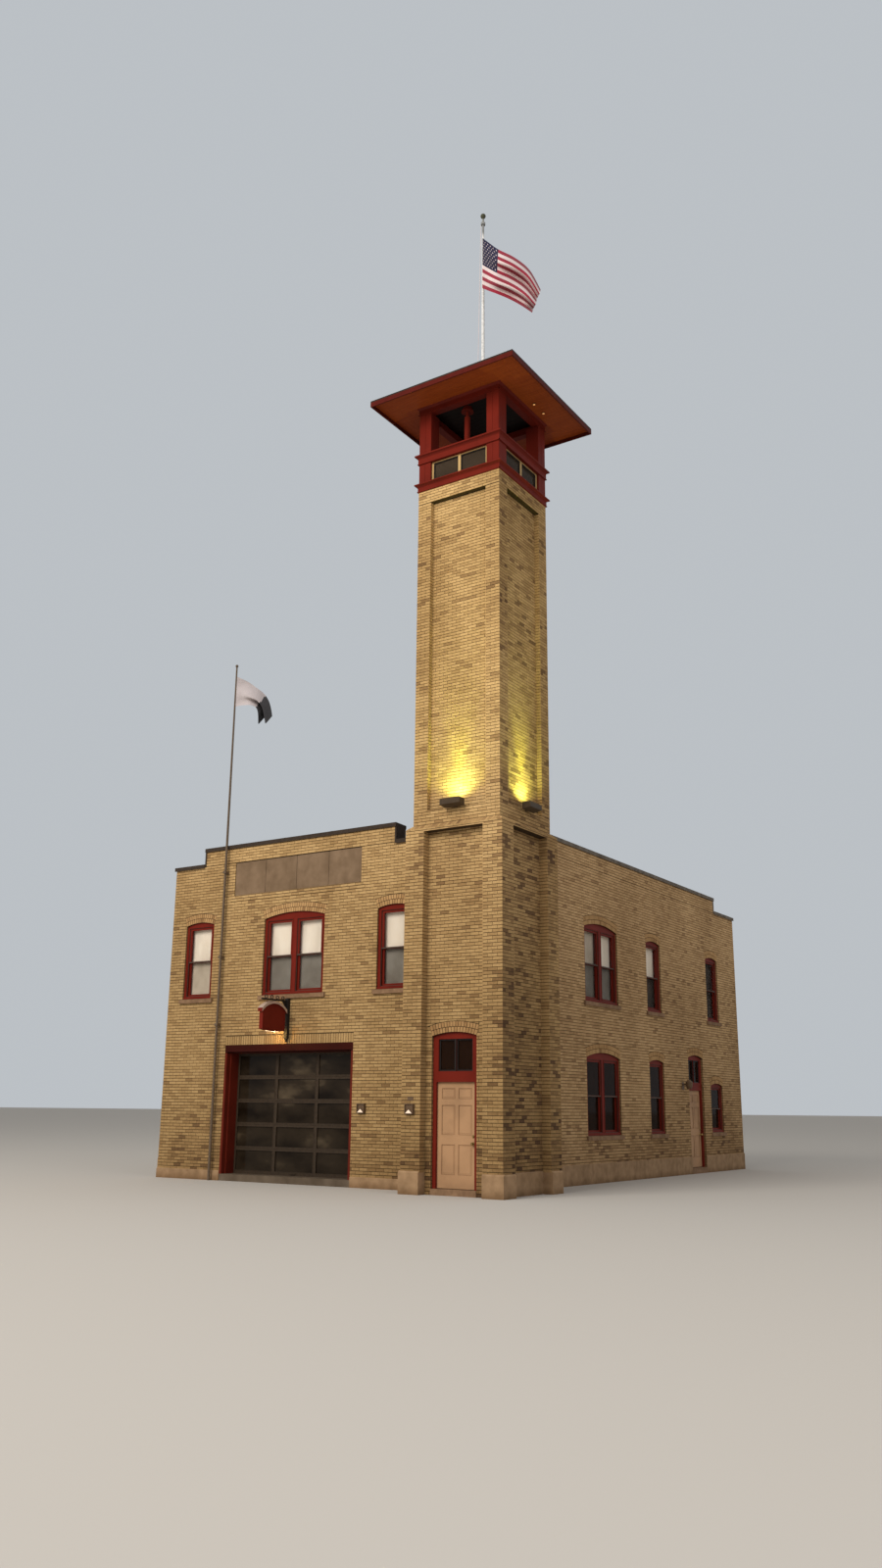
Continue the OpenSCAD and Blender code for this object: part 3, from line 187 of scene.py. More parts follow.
def scaled(tree, value, low, high, start, end):
    """A value that runs from start at low to end at high."""
    ends = {"From Min": low, "From Max": high, "To Min": start, "To Max": end}
    return node(tree, "MapRange", Value=value, **ends).outputs["Result"]


def below(tree, low, high):
    """1 below the height low, falling to 0 at the height high."""
    return scaled(tree, place(tree, "Z"), low, high, 1.0, 0.0)


def times(colour, factor):
    return tuple(c * factor for c in colour)


def material(name):
    mat = bpy.data.materials.new(name)
    mat.use_nodes = True
    return mat, mat.node_tree


def shaded(mat, **values):
    """A material with its shader's inputs set or fed by name, where _ stands for a space."""
    inputs = mat.node_tree.nodes["Principled BSDF"].inputs
    for key, value in values.items():
        feed(mat.node_tree, inputs[key.replace("_", " ")], value)
    return mat


def coat(mat, colour, gloss, relief, **values):
    """A material with its colour, its (roughness, specular) and its (height, strength, distance) bump."""
    tree = mat.node_tree
    height, strength, distance = relief
    bump = node(tree, "Bump", Strength=strength, Distance=distance, Height=height)
    return shaded(mat, Base_Color=colour, Roughness=gloss[0], Specular_IOR_Level=gloss[1],
                  Normal=bump.outputs["Normal"], **values)


def height_tint(tree, colour):
    """Masonry colour by height: darker and browner towards the ground and yellower high up, with large light
    and dark patches.
    """
    by_height = ramp(tree, scaled(tree, place(tree, "Z"), 0.0, 12.0, 0.0, 1.0), [
        (0.0, (0.56, 0.52, 0.48)), (0.10, (0.70, 0.67, 0.62)), (0.35, (0.76, 0.73, 0.68)),
        (0.60, (0.92, 0.89, 0.84)), (0.85, (1.0, 0.965, 0.87)),
    ])
    patches = clouds(tree, (0.66, 0.61, 0.55), (1.04, 1.03, 1.0), 0.55, stretch=(1, 1, 0.4), at=(0.36, 0.60))
    return blend(tree, "MULTIPLY", 0.6, blend(tree, "MULTIPLY", 1.0, colour, by_height), patches)


def brick_material(name, tint=(1.0, 1.0, 1.0)):
    """Fired faces: a colour for each brick, mottled and tinted by height."""
    mat, tree = material(name)
    fired = [
        (0.00, (0.640, 0.443, 0.222)), (0.30, (0.545, 0.368, 0.178)), (0.55, (0.420, 0.272, 0.130)),
        (0.78, (0.285, 0.176, 0.088)), (1.00, (0.150, 0.088, 0.052)),
    ]
    tinted = [(where, tuple(c * t for c, t in zip(colour, tint))) for where, colour in fired]
    base = ramp(tree, node(tree, "Attribute", attribute_name="tone").outputs["Fac"], tinted)
    mottle = clouds(tree, (0.72, 0.71, 0.70), (1.12, 1.10, 1.06), 34, at=(0.25, 0.75))
    colour = height_tint(tree, blend(tree, "MULTIPLY", 0.8, base, mottle))
    return coat(mat, colour, (0.9, 0.12), (noise(tree, 150, 6), 0.55, 0.004))


def mortar_material(name, axis):
    """Mortar on a wall's faces, and a brick pattern on the reveals, whose normals lie along axis."""
    mat, tree = material(name)
    along = node(tree, "CombineXYZ", X=place(tree, "Y" if axis == "X" else "X"), Y=place(tree, "Z"))
    bricks = node(tree, "TexBrick", Scale=1.0, Vector=along.outputs["Vector"], Color1=(0.46, 0.31, 0.15),
                  Color2=(0.33, 0.21, 0.105), Mortar=(0.11, 0.077, 0.045),
                  **{"Mortar Size": 0.006, "Brick Width": 0.115, "Row Height": COURSE})
    facing = calculate(tree, "ABSOLUTE", place(tree, axis, "Normal"))
    reveal = calculate(tree, "GREATER_THAN", facing, 0.5)
    sand = clouds(tree, (0.045, 0.030, 0.018), (0.090, 0.062, 0.037), 60, 5)
    colour = height_tint(tree, blend(tree, "MIX", reveal, sand, bricks.outputs["Color"]))
    return coat(mat, colour, (0.95, 0.1), (noise(tree, 220, 4), 0.5, 0.002))


def mineral(name, dark, light, scale=9, roughness=0.85, grain=120, depth=0.003, soil=None):
    """Stone, render or concrete: clouded colour, a fine grain, and soil up to a height."""
    mat, tree = material(name)
    streaks = clouds(tree, (0.72, 0.70, 0.67), (1, 1, 1), 2.2, stretch=(1, 1, 0.3), at=(0.35, 0.6))
    colour = blend(tree, "MULTIPLY", 0.6, clouds(tree, dark, light, scale), streaks)
    if soil:
        colour = blend(tree, "MULTIPLY", below(tree, 0.0, soil), colour, (0.62, 0.57, 0.52))
    return coat(mat, colour, (roughness, 0.15), (noise(tree, grain, 6), 0.5, depth))


def slats_material(name, dark, light, roughness=0.7):
    return mineral(name, dark, light, scale=2, roughness=roughness, depth=0.0005)


def paint(name, colour, roughness=0.5, wear=0.5, shaded_above=None):
    """Painted wood: brushed grain, faded patches, a little chalking, and painted shade above a height."""
    mat, tree = material(name)
    faded = tuple(min(1, c) for c in times(colour, 1.15))
    base = ramp(tree, noise(tree, 1.7, 7), [(0.28, times(colour, 0.78)), (0.5, colour), (0.8, faded)])
    grain = (3, 3, 60)
    brushed = clouds(tree, (0.84, 0.83, 0.82), (1.05, 1.04, 1.03), 22, 5, grain)
    if shaded_above:
        # Painted shade: darker above the given height
        clean = ramp(tree, below(tree, shaded_above, shaded_above + 0.01), [(0.0, (0.29, 0.27, 0.27)), (1.0, (1, 1, 1))])
        base = blend(tree, "MULTIPLY", 1.0, base, clean)
    colour = blend(tree, "MULTIPLY", wear, base, brushed)
    return coat(mat, colour, (roughness, 0.12), (noise(tree, 30, 5, grain), 0.25, 0.0015))


def metal(name, colour, roughness=0.5, metallic=0.0):
    """Sheet metal or bars: uneven gloss and faint dents."""
    mat, tree = material(name)
    gloss = scaled(tree, noise(tree, 7, 4), 0.0, 1.0, roughness * 0.75, min(1.0, roughness * 1.35))
    return coat(mat, clouds(tree, times(colour, 0.7), colour, 18), (gloss, 0.25),
                (noise(tree, 5, 3), 0.12, 0.003), Metallic=metallic)


def glass(name, clear, room_shade_tint, alpha):
    """Panes: part clear in the upper storey, and darker on the ground floor and in the tower, where the dark
    tint is painted shade of the rooms behind.
    """
    mat, tree = material(name)
    storey = scaled(tree, place(tree, "Z"), 3.3, 3.4, 0.0, 1.0)
    under_tower = below(tree, 10.0, 10.1)
    upper = calculate(tree, "MULTIPLY", storey, under_tower)
    cloud = clouds(tree, (0.7, 0.7, 0.7), (1.1, 1.1, 1.1), 1.3, 4)
    # Painted shade: a dark tint for the tower's panes and for the ground-floor panes
    dull = blend(tree, "MIX", under_tower, (0.062, 0.044, 0.029), room_shade_tint)
    tint = blend(tree, "MULTIPLY", 1.0, blend(tree, "MIX", upper, dull, clear), cloud)
    return coat(mat, tint, (0.04, 0.03), (noise(tree, 2.5, 2), 0.08, 0.01), IOR=1.5,
                Alpha=scaled(tree, upper, 0.0, 1.0, alpha[1], alpha[0]))


def dark_glass(name, stops):
    """Glass before a dark hall, with faint streaks of what it mirrors."""
    mat, tree = material(name)
    streaks = ramp(tree, noise(tree, 0.9, 3, (1, 1, 2.0)), stops)
    return coat(mat, streaks, (0.10, 0.10), (noise(tree, 2.5, 2), 0.08, 0.01))


def boards_material(name, dark, light, width, along, roughness=0.6, tones=(0.78, 1.12)):
    """Stained boards: long grain along one axis, and a tone that changes from board to board."""
    mat, tree = material(name)
    stretch = tuple(2 if axis == along else 60 for axis in "XYZ")
    low, high = tones
    shade = ramp(tree, node(tree, "Attribute", attribute_name="tone").outputs["Fac"], [
        (0.0, (low, low * 0.97, low * 0.95)), (1.0, (high, high * 0.98, high * 0.96)),
    ])
    colour = blend(tree, "MULTIPLY", 0.9, clouds(tree, dark, light, 1.0, 7, stretch), shade)
    return coat(mat, colour, (roughness, 0.15), (noise(tree, 1.0, 6, stretch), 0.3, width * 0.01))


def cloth(name, colour):
    """Woven cloth with crossed threads."""
    mat, tree = material(name)
    across, down = (node(tree, "TexWave", Scale=260.0, bands_direction=way, Vector=place(tree))
                    for way in "XZ")
    woven = blend(tree, "MULTIPLY", 1.0, across.outputs["Color"], down.outputs["Color"])
    return coat(mat, clouds(tree, times(colour, 0.82), colour, 3, 4), (0.85, 0.5), (woven, 0.15, 0.001),
                Sheen_Weight=0.08)


def glowing(name, colour, strength):
    return shaded(material(name)[0], Base_Color=colour, Emission_Color=colour, Emission_Strength=strength,
                  Roughness=0.3)


def roof_material(red):
    """Dark shingle and edge metal above the eave, and below it the barn red darkened as painted shade on the
    fascia.
    """
    mat, tree = material("roof_and_fascia")
    dark = clouds(tree, (0.020, 0.015, 0.012), (0.045, 0.034, 0.027), 30, 5)
    # Barn red at about half its brightness: painted shade on the fascia
    fascia = clouds(tree, times(red, 0.48), times(red, 0.66), 5)
    colour = blend(tree, "MIX", below(tree, EAVE + 0.001, EAVE + 0.002), dark, fascia)
    return coat(mat, colour, (0.65, 0.2), (noise(tree, 60, 4), 0.3, 0.002))


def pole_material():
    """Satin aluminium, duller over the flag, and a bronze ball at the top."""
    mat, tree = material("satin_aluminium")
    clean = clouds(tree, (0.56, 0.55, 0.53), (0.80, 0.79, 0.77), 18)
    dull = clouds(tree, (0.17, 0.17, 0.165), (0.28, 0.28, 0.27), 18)
    bronze = clouds(tree, (0.045, 0.047, 0.028), (0.085, 0.085, 0.050), 12)
    staff = blend(tree, "MIX", below(tree, FLAG_TOP, FLAG_TOP + 0.15), dull, clean)
    colour = blend(tree, "MIX", below(tree, 22.99, 23.00), bronze, staff)
    return coat(mat, colour, (0.4, 0.25), (noise(tree, 5, 3), 0.12, 0.003))


RED = (0.150, 0.0145, 0.0075)
# The spread of painted light and shade across the eave boards
EAVE_LIGHT_TONES = (0.6, 1.15)
MAT = {
    "brick": brick_material("cream_brick"),
    # A greyer brick for the side, left and rear walls, made lighter than the front's: painted light on the
    # faces turned from the key light
    "grey_brick_painted_lighter": brick_material("common_brick_painted_lighter", (1.13, 1.12, 1.24)),
    "arch_brick": brick_material("arch_brick", (1.02, 0.95, 0.95)),
    "core_x": mortar_material("mortar_walls_along_x", "X"),
    "core_y": mortar_material("mortar_walls_along_y", "Y"),
    "render": mineral("tan_render", (0.250, 0.155, 0.083), (0.370, 0.236, 0.131), scale=5, soil=0.15),
    "stone": mineral("sill_stone", (0.185, 0.108, 0.061), (0.280, 0.170, 0.097)),
    "panel_stone": mineral("inscription_stone", (0.170, 0.111, 0.066), (0.240, 0.161, 0.100), scale=4,
                           depth=0.0015),
    "concrete": mineral("floor_concrete", (0.090, 0.066, 0.045), (0.140, 0.105, 0.074), 3),
    "felt": mineral("roofing_felt", (0.055, 0.055, 0.055), (0.10, 0.10, 0.098), 2.5, grain=300),
    "tile": mineral("coping_tile", (0.120, 0.100, 0.080), (0.205, 0.174, 0.142), 6, 0.8),
    "red": paint("barn_red_paint", RED, 0.55),
    # The garage frame: a red darker than the barn red as painted shade of its recess, and darker still above
    # the head's foot as painted shade on the head board
    "dark_red": paint("garage_red_paint", (0.120, 0.0150, 0.0075), 0.6, shaded_above=GARAGE_TOP - 0.185),
    "beige": paint("beige_door_paint", (0.420, 0.245, 0.130), wear=0.3),
    # A darker beige on the door mouldings: painted shade round the panels
    "moulding_shade": paint("beige_paint_darkened_as_shade", (0.330, 0.188, 0.098), wear=0.3),
    "cream": paint("cream_paint", (0.50, 0.33, 0.14)),
    "dark_metal": metal("dark_coping_metal", (0.050, 0.034, 0.024), 0.6),
    "bronze": metal("bronze_paint", (0.074, 0.050, 0.030)),
    "dark_bronze": metal("garage_door_paint", (0.048, 0.032, 0.020), 0.6),
    "plaque": metal("plaque_bronze", (0.150, 0.092, 0.052)),
    "black": metal("black_iron", (0.020, 0.016, 0.014)),
    "pole": pole_material(),
    "storm": metal("storm_sash_bronze", (0.085, 0.064, 0.047), 0.6),
    "galvanized": metal("galvanized_pipe", (0.17, 0.120, 0.080), metallic=0.3),
    "brass": metal("brass", (0.55, 0.38, 0.14), 0.3, metallic=1.0),
    "gilt": metal("gilt_trim", (0.60, 0.45, 0.36), 0.4, metallic=0.3),
    "glass": glass("window_glass", (0.10, 0.09, 0.08), (0.020, 0.009, 0.005), (0.06, 0.80)),
    "garage_glass": dark_glass("garage_glass", [
        (0.35, (0.008, 0.005, 0.003)), (0.60, (0.026, 0.018, 0.011)), (0.74, (0.085, 0.062, 0.038)),
    ]),
    # Red-orange boards under the eaves: partly their own stain, partly the painted warm glow of the lamps
    # below; the boards along y, under the side eaves, are a darker copy as painted shade
    "soffit": boards_material("soffit_boards", (0.310, 0.050, 0.012), (0.490, 0.092, 0.021), 0.14, "X",
                              tones=EAVE_LIGHT_TONES),
    "soffit_y": boards_material("soffit_boards_along_y", (0.250, 0.046, 0.011), (0.400, 0.084, 0.019), 0.14,
                                "Y", tones=EAVE_LIGHT_TONES),
    # Near-black boards: painted shade under the belfry's roof, also used on the belfry's floor
    "ceiling": boards_material("ceiling_boards_in_painted_shade", (0.006, 0.003, 0.003), (0.014, 0.007, 0.005), 0.14, "X"),
    "floor_boards": boards_material("floor_boards", (0.10, 0.055, 0.030), (0.20, 0.12, 0.065), 0.12, "Y"),
    "roof": roof_material(RED),
    "shingle": boards_material("shingles", (0.030, 0.026, 0.022), (0.085, 0.072, 0.060), 0.3, "Z", 0.9),
    # Slats behind the panes: pale for a painted reflection of the sky, half-lit and dull for a dimmer painted
    # reflection, dark for painted shade of the rooms
    "pale": slats_material("sky_reflection_slats", (0.95, 0.83, 0.67), (1.0, 0.91, 0.77), 0.6),
    "half": slats_material("dim_reflection_slats", (0.48, 0.40, 0.30), (0.66, 0.56, 0.44)),
    "dull": slats_material("dark_reflection_slats", (0.17, 0.145, 0.115), (0.27, 0.245, 0.205)),
    "room_shade": slats_material("room_shade_slats", (0.022, 0.014, 0.010), (0.060, 0.043, 0.032)),
    "red_cloth": cloth("red_flag_cloth", (0.30, 0.018, 0.040)),
    "white_cloth": cloth("white_flag_cloth", (0.74, 0.62, 0.60)),
    "grey_cloth": cloth("grey_flag_cloth", (0.53, 0.47, 0.47)),
    "blue_cloth": cloth("blue_flag_cloth", (0.018, 0.014, 0.045)),
    "dark_cloth": cloth("dark_flag_cloth", (0.045, 0.042, 0.045)),
    "flood": glowing("flood_lens", (1.0, 0.90, 0.22), 14.0),
    "lens": glowing("lamp_lens", (1.0, 0.80, 0.62), 0.06),
    "bulb": glowing("soffit_bulb", (1.0, 0.45, 0.16), 0.45),
    "strip": glowing("sign_lamp_strip", (1.0, 0.68, 0.38), 1.4),
}

# The look of each CAD node; the two flags' solids are hidden by their cloth
NODE_LOOK = {
    "core_x": "front_piers front_wall_upper rear_wall tower_front_piers tower_front_wall tower_rear_wall",
    "core_y": "side_wall_front side_wall_rear side_wall_over_door left_wall tower_right_wall tower_left_wall",
    "render": "foundation",
    "stone": "window_sills door_steps tower_ledge",
    "panel_stone": "inscription_panel",
    "concrete": "ground_floor",
    "floor_boards": "upper_floor",
    "ceiling": "belfry_floor",
    "felt": "roof_deck",
    "dark_metal": "front_coping",
    "tile": "side_coping",
    "dark_red": "garage_frame",
    "red": "window_frames door_frames cornices corner_posts belfry_beam belfry_stand sign_board",
    "beige": "tower_door side_door",
    "cream": "belfry_window_trim",
    "glass": "window_glass",
    "garage_glass": "garage_glass",
    "bronze": "floodlights",
    "dark_bronze": "garage_door",
    "plaque": "wall_lamps",
    "soffit": "soffit",
    "roof": "tower_roof",
    "pole": "flagpole",
    "galvanized": "wall_flagpole",
    "black": "sign_bracket",
    "red_cloth": "flag",
    "white_cloth": "small_flag",
}


def dress_nodes():
    for look, names in NODE_LOOK.items():
        for name in names.split():
            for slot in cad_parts[name].material_slots:
                slot.material = MAT[look]


# Building meshes

class Plane:
    """A flat face: u to the right and v up, seen from outside, and n outwards."""

    def __init__(self, origin, u, v=(0, 0, 1)):
        self.o, self.u, self.v = Vector(origin), Vector(u), Vector(v)
        self.n = self.u.cross(self.v)

    def at(self, u, v, out=0.0):
        return self.o + self.u * u + self.v * v + self.n * out

    def shifted(self, out):
        """The same plane moved outwards."""
        return Plane(self.o + self.n * out, self.u, self.v)


def wall(x, y, turn):
    """An upright plane; turn 0 faces the front, 1 the right, 2 the rear and 3 the left."""
    return Plane((x, y, 0), (*((1, 0), (0, 1), (-1, 0), (0, -1))[turn], 0))


def tower_plane(turn, half):
    """A face of the tower at a half width; u = 0 is the middle of the tower."""
    x, y = ((0, -1), (1, 0), (0, 1), (-1, 0))[turn]
    return wall(TOWER.x + x * half, TOWER.y + y * half, turn)


def tower_slope(turn, half, foot, run, rise):
    """A sloping face of the tower from a half width and a height, and its length up the slope."""
    flat, slope = tower_plane(turn, half), math.hypot(run, rise)
    up = flat.n * (-run / slope) + Vector((0, 0, rise / slope))
    return Plane(flat.at(0, foot), flat.u, up), slope


def linked(name, data):
    """A new object in the scene."""
    obj = bpy.data.objects.new(name, data)
    bpy.context.scene.collection.objects.link(obj)
    return obj


def settle(name, mesh, body="building"):
    """A mesh as a piece in the scene, on its body."""
    obj = linked(name, mesh)
    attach(obj, body)
    return obj


def mesh_piece(name, verts, faces, looks, body="building", smooth=True, tones=(), shares=()):
    """A piece of points and faces; tones holds a tone, and shares the number of a look, for each face."""
    mesh = bpy.data.meshes.new(name)
    mesh.from_pydata(verts, [], faces)
    for look in looks:
        mesh.materials.append(MAT[look])
    if len(tones):
        mesh.attributes.new("tone", "FLOAT", "FACE").data.foreach_set("value", tones)
    if len(shares):
        mesh.polygons.foreach_set("material_index", shares)
    mesh.polygons.foreach_set("use_smooth", np.full(len(faces), smooth))
    return settle(name, mesh, body)


def corners(rect):
    u0, u1, v0, v1 = rect
    return [(u0, v0), (u1, v0), (u1, v1), (u0, v1)]


class Pile:
    """Many small solids gathered into one piece, each with its own tone."""

    def __init__(self):
        self.verts, self.faces, self.tones = [], [], []

    def prism(self, plane, polygon, back, front, tone=0.5, tilt=0.0, bottom=False):
        """A polygon of the plane as a solid from depth back to front; tilt lifts its lower edge."""
        n, start = len(polygon), len(self.verts)
        heights = [v for _, v in polygon]
        low, tall = min(heights), max(heights) - min(heights)
        self.verts += [plane.at(u, v, back) for u, v in polygon]
        self.verts += [plane.at(u, v, front + tilt * (1 - (v - low) / tall)) for u, v in polygon]
        self.faces.append([start + n + i for i in range(n)])
        if bottom:
            self.faces.append([start + n - 1 - i for i in range(n)])
        for i in range(n):
            j = (i + 1) % n
            self.faces.append([start + i, start + j, start + n + j, start + n + i])
        self.tones += [tone] * (n + 1 + bottom)

    def box(self, plane, u0, u1, v0, v1, back, front, tone=0.5, bottom=True):
        self.prism(plane, corners((u0, u1, v0, v1)), back, front, tone, bottom=bottom)

    def ring(self, plane, u0, u1, v0, v1, width, back, front):
        """A mitred frame of four rails."""
        outer = corners((u0, u1, v0, v1))
        inner = corners((u0 + width, u1 - width, v0 + width, v1 - width))
        for i in range(4):
            j = (i + 1) % 4
            self.prism(plane, [outer[i], outer[j], inner[j], inner[i]], back, front, bottom=True)

    def piece(self, name, look, slot, body="building"):
        return mesh_piece(name, self.verts, self.faces, [look], body, smooth=False, tones=self.tones)


def clip(polygon, point, normal):
    """The part of a convex polygon on the side of a line that its normal points to."""
    kept = []
    side = [(p[0] - point[0]) * normal[0] + (p[1] - point[1]) * normal[1] for p in polygon]
    for i, p in enumerate(polygon):
        q, a, b = polygon[(i + 1) % len(polygon)], side[i], side[(i + 1) % len(polygon)]
        if a >= 0:
            kept.append(p)
        if a > 0 > b or a < 0 < b:
            t = a / (a - b)
            kept.append((p[0] + t * (q[0] - p[0]), p[1] + t * (q[1] - p[1])))
    return kept


def mitred(polygon, half, run, slope):
    """The part of a polygon on a sloping face that lies between the face's two hips."""
    return clip(clip(polygon, (-half, 0), (slope, -run)), (half, 0), (-slope, -run))


def area(polygon):
    following = polygon[1:] + polygon[:1]
    return abs(sum(p[0] * q[1] - q[0] * p[1] for p, q in zip(polygon, following))) / 2


def minus(rect, hole):
    """A rectangle (u0, u1, v0, v1) without another, as up to four rectangles."""
    u0, u1, v0, v1 = rect
    a, b, c, d = max(u0, hole[0]), min(u1, hole[1]), max(v0, hole[2]), min(v1, hole[3])
    if a >= b or c >= d:
        return [rect]
    parts = [(u0, a, v0, v1), (b, u1, v0, v1), (a, b, v0, c), (a, b, d, v1)]
    return [p for p in parts if p[1] - p[0] > 1e-4 and p[3] - p[2] > 1e-4]


# Brickwork

class Opening:
    """A hole in a wall: flat-topped, or with a segmental arch of two rings of rowlocks."""

    rings = 2

    def __init__(self, middle, width, foot, spring, rise=0.0, lintel=0.0):
        self.c, self.half, self.foot, self.spring, self.rise = middle, width / 2, foot, spring, rise
        self.lintel = lintel
        if rise:
            self.r = (self.half ** 2 + rise ** 2) / (2 * rise)
            self.centre = (middle, spring + rise - self.r)
            self.spread = math.asin(self.half / self.r)
            self.outer = self.r + self.rings * (ROWLOCK + JOINT)

    def cut(self, rect):
        """A brick's rectangle as the polygons that are left of it beside the opening and its arch."""
        left = minus(rect, (self.c - self.half, self.c + self.half, self.foot, self.spring + self.lintel))
        if not self.rise:
            return [corners(part) for part in left]
        kept = []
        for u0, u1, v0, v1 in left:
            if v0 < self.spring - 1e-4:
                kept.append(corners((u0, u1, v0, min(v1, self.spring))))
            if v1 > self.spring + 1e-4:
                kept += self.over((u0, u1, max(v0, self.spring), v1))
        return kept

    def over(self, rect):
        """What is left of a rectangle above the spring, outside the arch's rings."""
        polygon = corners(rect)
        cu, cv = (rect[0] + rect[1]) / 2 - self.centre[0], (rect[2] + rect[3]) / 2 - self.centre[1]
        far = math.hypot(cu, cv)
        if far - self.outer > 0.2 or abs(cu) > self.outer * math.sin(self.spread) + 0.2:
            return [polygon]
        radial = (cu / far, cv / far)
        rim = (self.centre[0] + radial[0] * self.outer, self.centre[1] + radial[1] * self.outer)
        skew = (math.copysign(math.cos(self.spread), cu), -math.sin(self.spread))
        best = max(clip(polygon, rim, radial), clip(polygon, self.centre, skew), key=area)
        return [best] if area(best) > 2e-4 else []

    def arch(self, pile, plane, dark):
        """Two rings of rowlock bricks round the head of the opening."""
        for ring in range(self.rings):
            r0 = self.r + ring * (ROWLOCK + JOINT) + (0 if ring else 0.002)
            r1 = self.r + (ring + 1) * (ROWLOCK + JOINT) - JOINT
            count = max(3, round(2 * self.spread * (r0 + r1) / 2 / COURSE))
            step, gap = 2 * self.spread / count, JOINT / 2 / r0
            for i in range(count):
                a0, a1 = -self.spread + i * step + gap, -self.spread + (i + 1) * step - gap
                polygon = [
                    (self.centre[0] + r * math.sin(a), self.centre[1] + r * math.cos(a))
                    for r, a in ((r0, a0), (r0, a1), (r1, a1), (r1, a0))
                ]
                tone = shade(chance(i, ring, self.c * 100, self.foot * 100), dark * 0.8)
                pile.prism(plane, polygon, SUNK, BRICK_OUT + 0.0015, tone)


def shade(random, dark):
    """A brick's tone: even with a few burnt bricks where dark is low, and darker all over where it is high,
    which on the tower's right faces is painted shade.
    """
    burnt = 0.15 if random > 1 - 0.12 * dark else 0.0
    return min(1.0, 0.02 + 0.6 * max(0.0, dark - 0.25) + 0.46 * random ** 1.5 + burnt)


def courses(v0, v1):
    """The number, foot and top of each course between two heights, without slivers."""
    for k in range(int(v0 // COURSE), int(v1 // COURSE) + 1):
        low, high = max(v0, k * COURSE + JOINT / 2), min(v1, (k + 1) * COURSE - JOINT / 2)
        if high - low > 0.012:
            yield k, low, high


def brickwork(pile, plane, u0, u1, v0, v1, openings=(), dark=0.3, salt=0):
    """A wall face in stretchers with broken joints, cut round its openings."""
    halves = max(2, round(2 * (u1 - u0) / MODULE))
    half = (u1 - u0) / halves
    for k, low, high in courses(v0, v1):
        for i in range(k % 2 - 1, halves, 2):
            start, end = max(0, i), min(halves, i + 2)
            a = u0 + start * half + (HEAD_JOINT / 2 if start else 0)
            b = u0 + end * half - (HEAD_JOINT / 2 if end < halves else 0)
            whole = [corners((a, b, low, high))]
            near = [hole.cut((a, b, low, high)) for hole in openings
                    if b > hole.c - hole.half - 0.5 and a < hole.c + hole.half + 0.5]
            polygons = next((cut for cut in near if cut != whole), whole)
            near_ground = max(0.0, 1 - low / 2.2)
            patch = perlin.noise(plane.at(a, low) * 0.55)
            tone = shade(chance(k, i, salt), min(1, max(0.05, dark + 0.35 * near_ground + 0.4 * patch)))
            out = BRICK_OUT + 0.0014 * (chance(i, k, salt + 5) - 0.5)
            for polygon in polygons:
                if area(polygon) > 3e-4:
                    pile.prism(plane, polygon, SUNK, out, tone)


def soldiers(pile, plane, u0, u1, v0, dark):
    """Bricks set upright in a row over a flat opening."""
    count = round((u1 - u0) / COURSE)
    step = (u1 - u0) / count
    for i in range(count):
        a, b = u0 + i * step + JOINT / 2, u0 + (i + 1) * step - JOINT / 2
        pile.box(plane, a, b, v0 + JOINT / 2, v0 + MODULE - JOINT, SUNK, BRICK_OUT + 0.001,
                 shade(chance(i, 77), dark), bottom=False)


def windowed(plane, widths, sills=(LOWER, UPPER)):
    """A wall with its windows, each a middle, a sill, a height and a width."""
    rows = [
        (c, sill, SMALL_H if (c, sill) == SMALL_AT else WINDOW_H, width)
        for sill in sills for c, width in widths.items()
    ]
    return plane, rows


# The walls of the main block, with the width of the window at each place along them
WALLS = {
    "front": windowed(wall(0, FRONT, 0), {-3.62: SINGLE, -0.64: PAIR, 2.22: SINGLE}, [UPPER]),
    "side": windowed(wall(RIGHT, 0, 1), {-1.92: PAIR, 1.21: SINGLE, 5.40: SINGLE}),
    "left": windowed(wall(LEFT, 0, 3), {5.0: SINGLE, 1.92: PAIR, -1.21: SINGLE, -5.40: SINGLE}),
    "rear": windowed(wall(0, REAR, 2), {-2.9: SINGLE, 0.0: PAIR, 2.9: SINGLE}),
}

# Each hinged door, with its wall, its middle along the wall, and its floor
DOORS = (
    ("tower_door", tower_plane(0, BASE_HALF - BASE_RECESS), DOOR_X - TOWER.x, TOWER_FLOOR),
    ("side_door", WALLS["side"][0], SIDE_DOOR_Y, FLOOR),
)


def windows(name):
    """The openings of a wall's windows."""
    return [Opening(c, width, sill, sill + tall, RISES[width]) for c, sill, tall, width in WALLS[name][1]]


def door_hole(middle):
    return Opening(middle, DOOR_W, 0, DOOR_SPRING, DOOR_RISE)


def front_bricks():
    pile, plane = Pile(), WALLS["front"][0]
    garage = Opening(sum(GARAGE) / 2, GARAGE[1] - GARAGE[0], 0, GARAGE_TOP, lintel=MODULE)
    # The stones with their bed; a course that stands out runs one course below them
    (left, right), (foot, top), bed = span("inscription_panel", "x"), span("inscription_panel", "z"), 0.005
    left, right, foot, top = left - bed, right + bed, foot - bed, top + bed
    holes = windows("front") + [garage, Opening((left + right) / 2, right - left, foot, top)]
    for u0, u1, v0, v1 in ((LEFT - BRICK_OUT, TOWER_LEFT, FRONT_FOOT, PARAPET_LOW),
                           (RAISED_LEFT, RAISED_RIGHT, PARAPET_LOW, PARAPET)):
        brickwork(pile, plane, u0, u1, v0, v1, holes, dark=0.28, salt=1)
    soldiers(pile, plane, *GARAGE, GARAGE_TOP, 0.3)
    out, reach = plane.shifted(0.015), 0.105
    brickwork(pile, out, left - reach, right + reach, foot - 2 * COURSE, foot - COURSE, dark=0.35, salt=3)
    pile.piece("bricks_front", "brick", "brick")


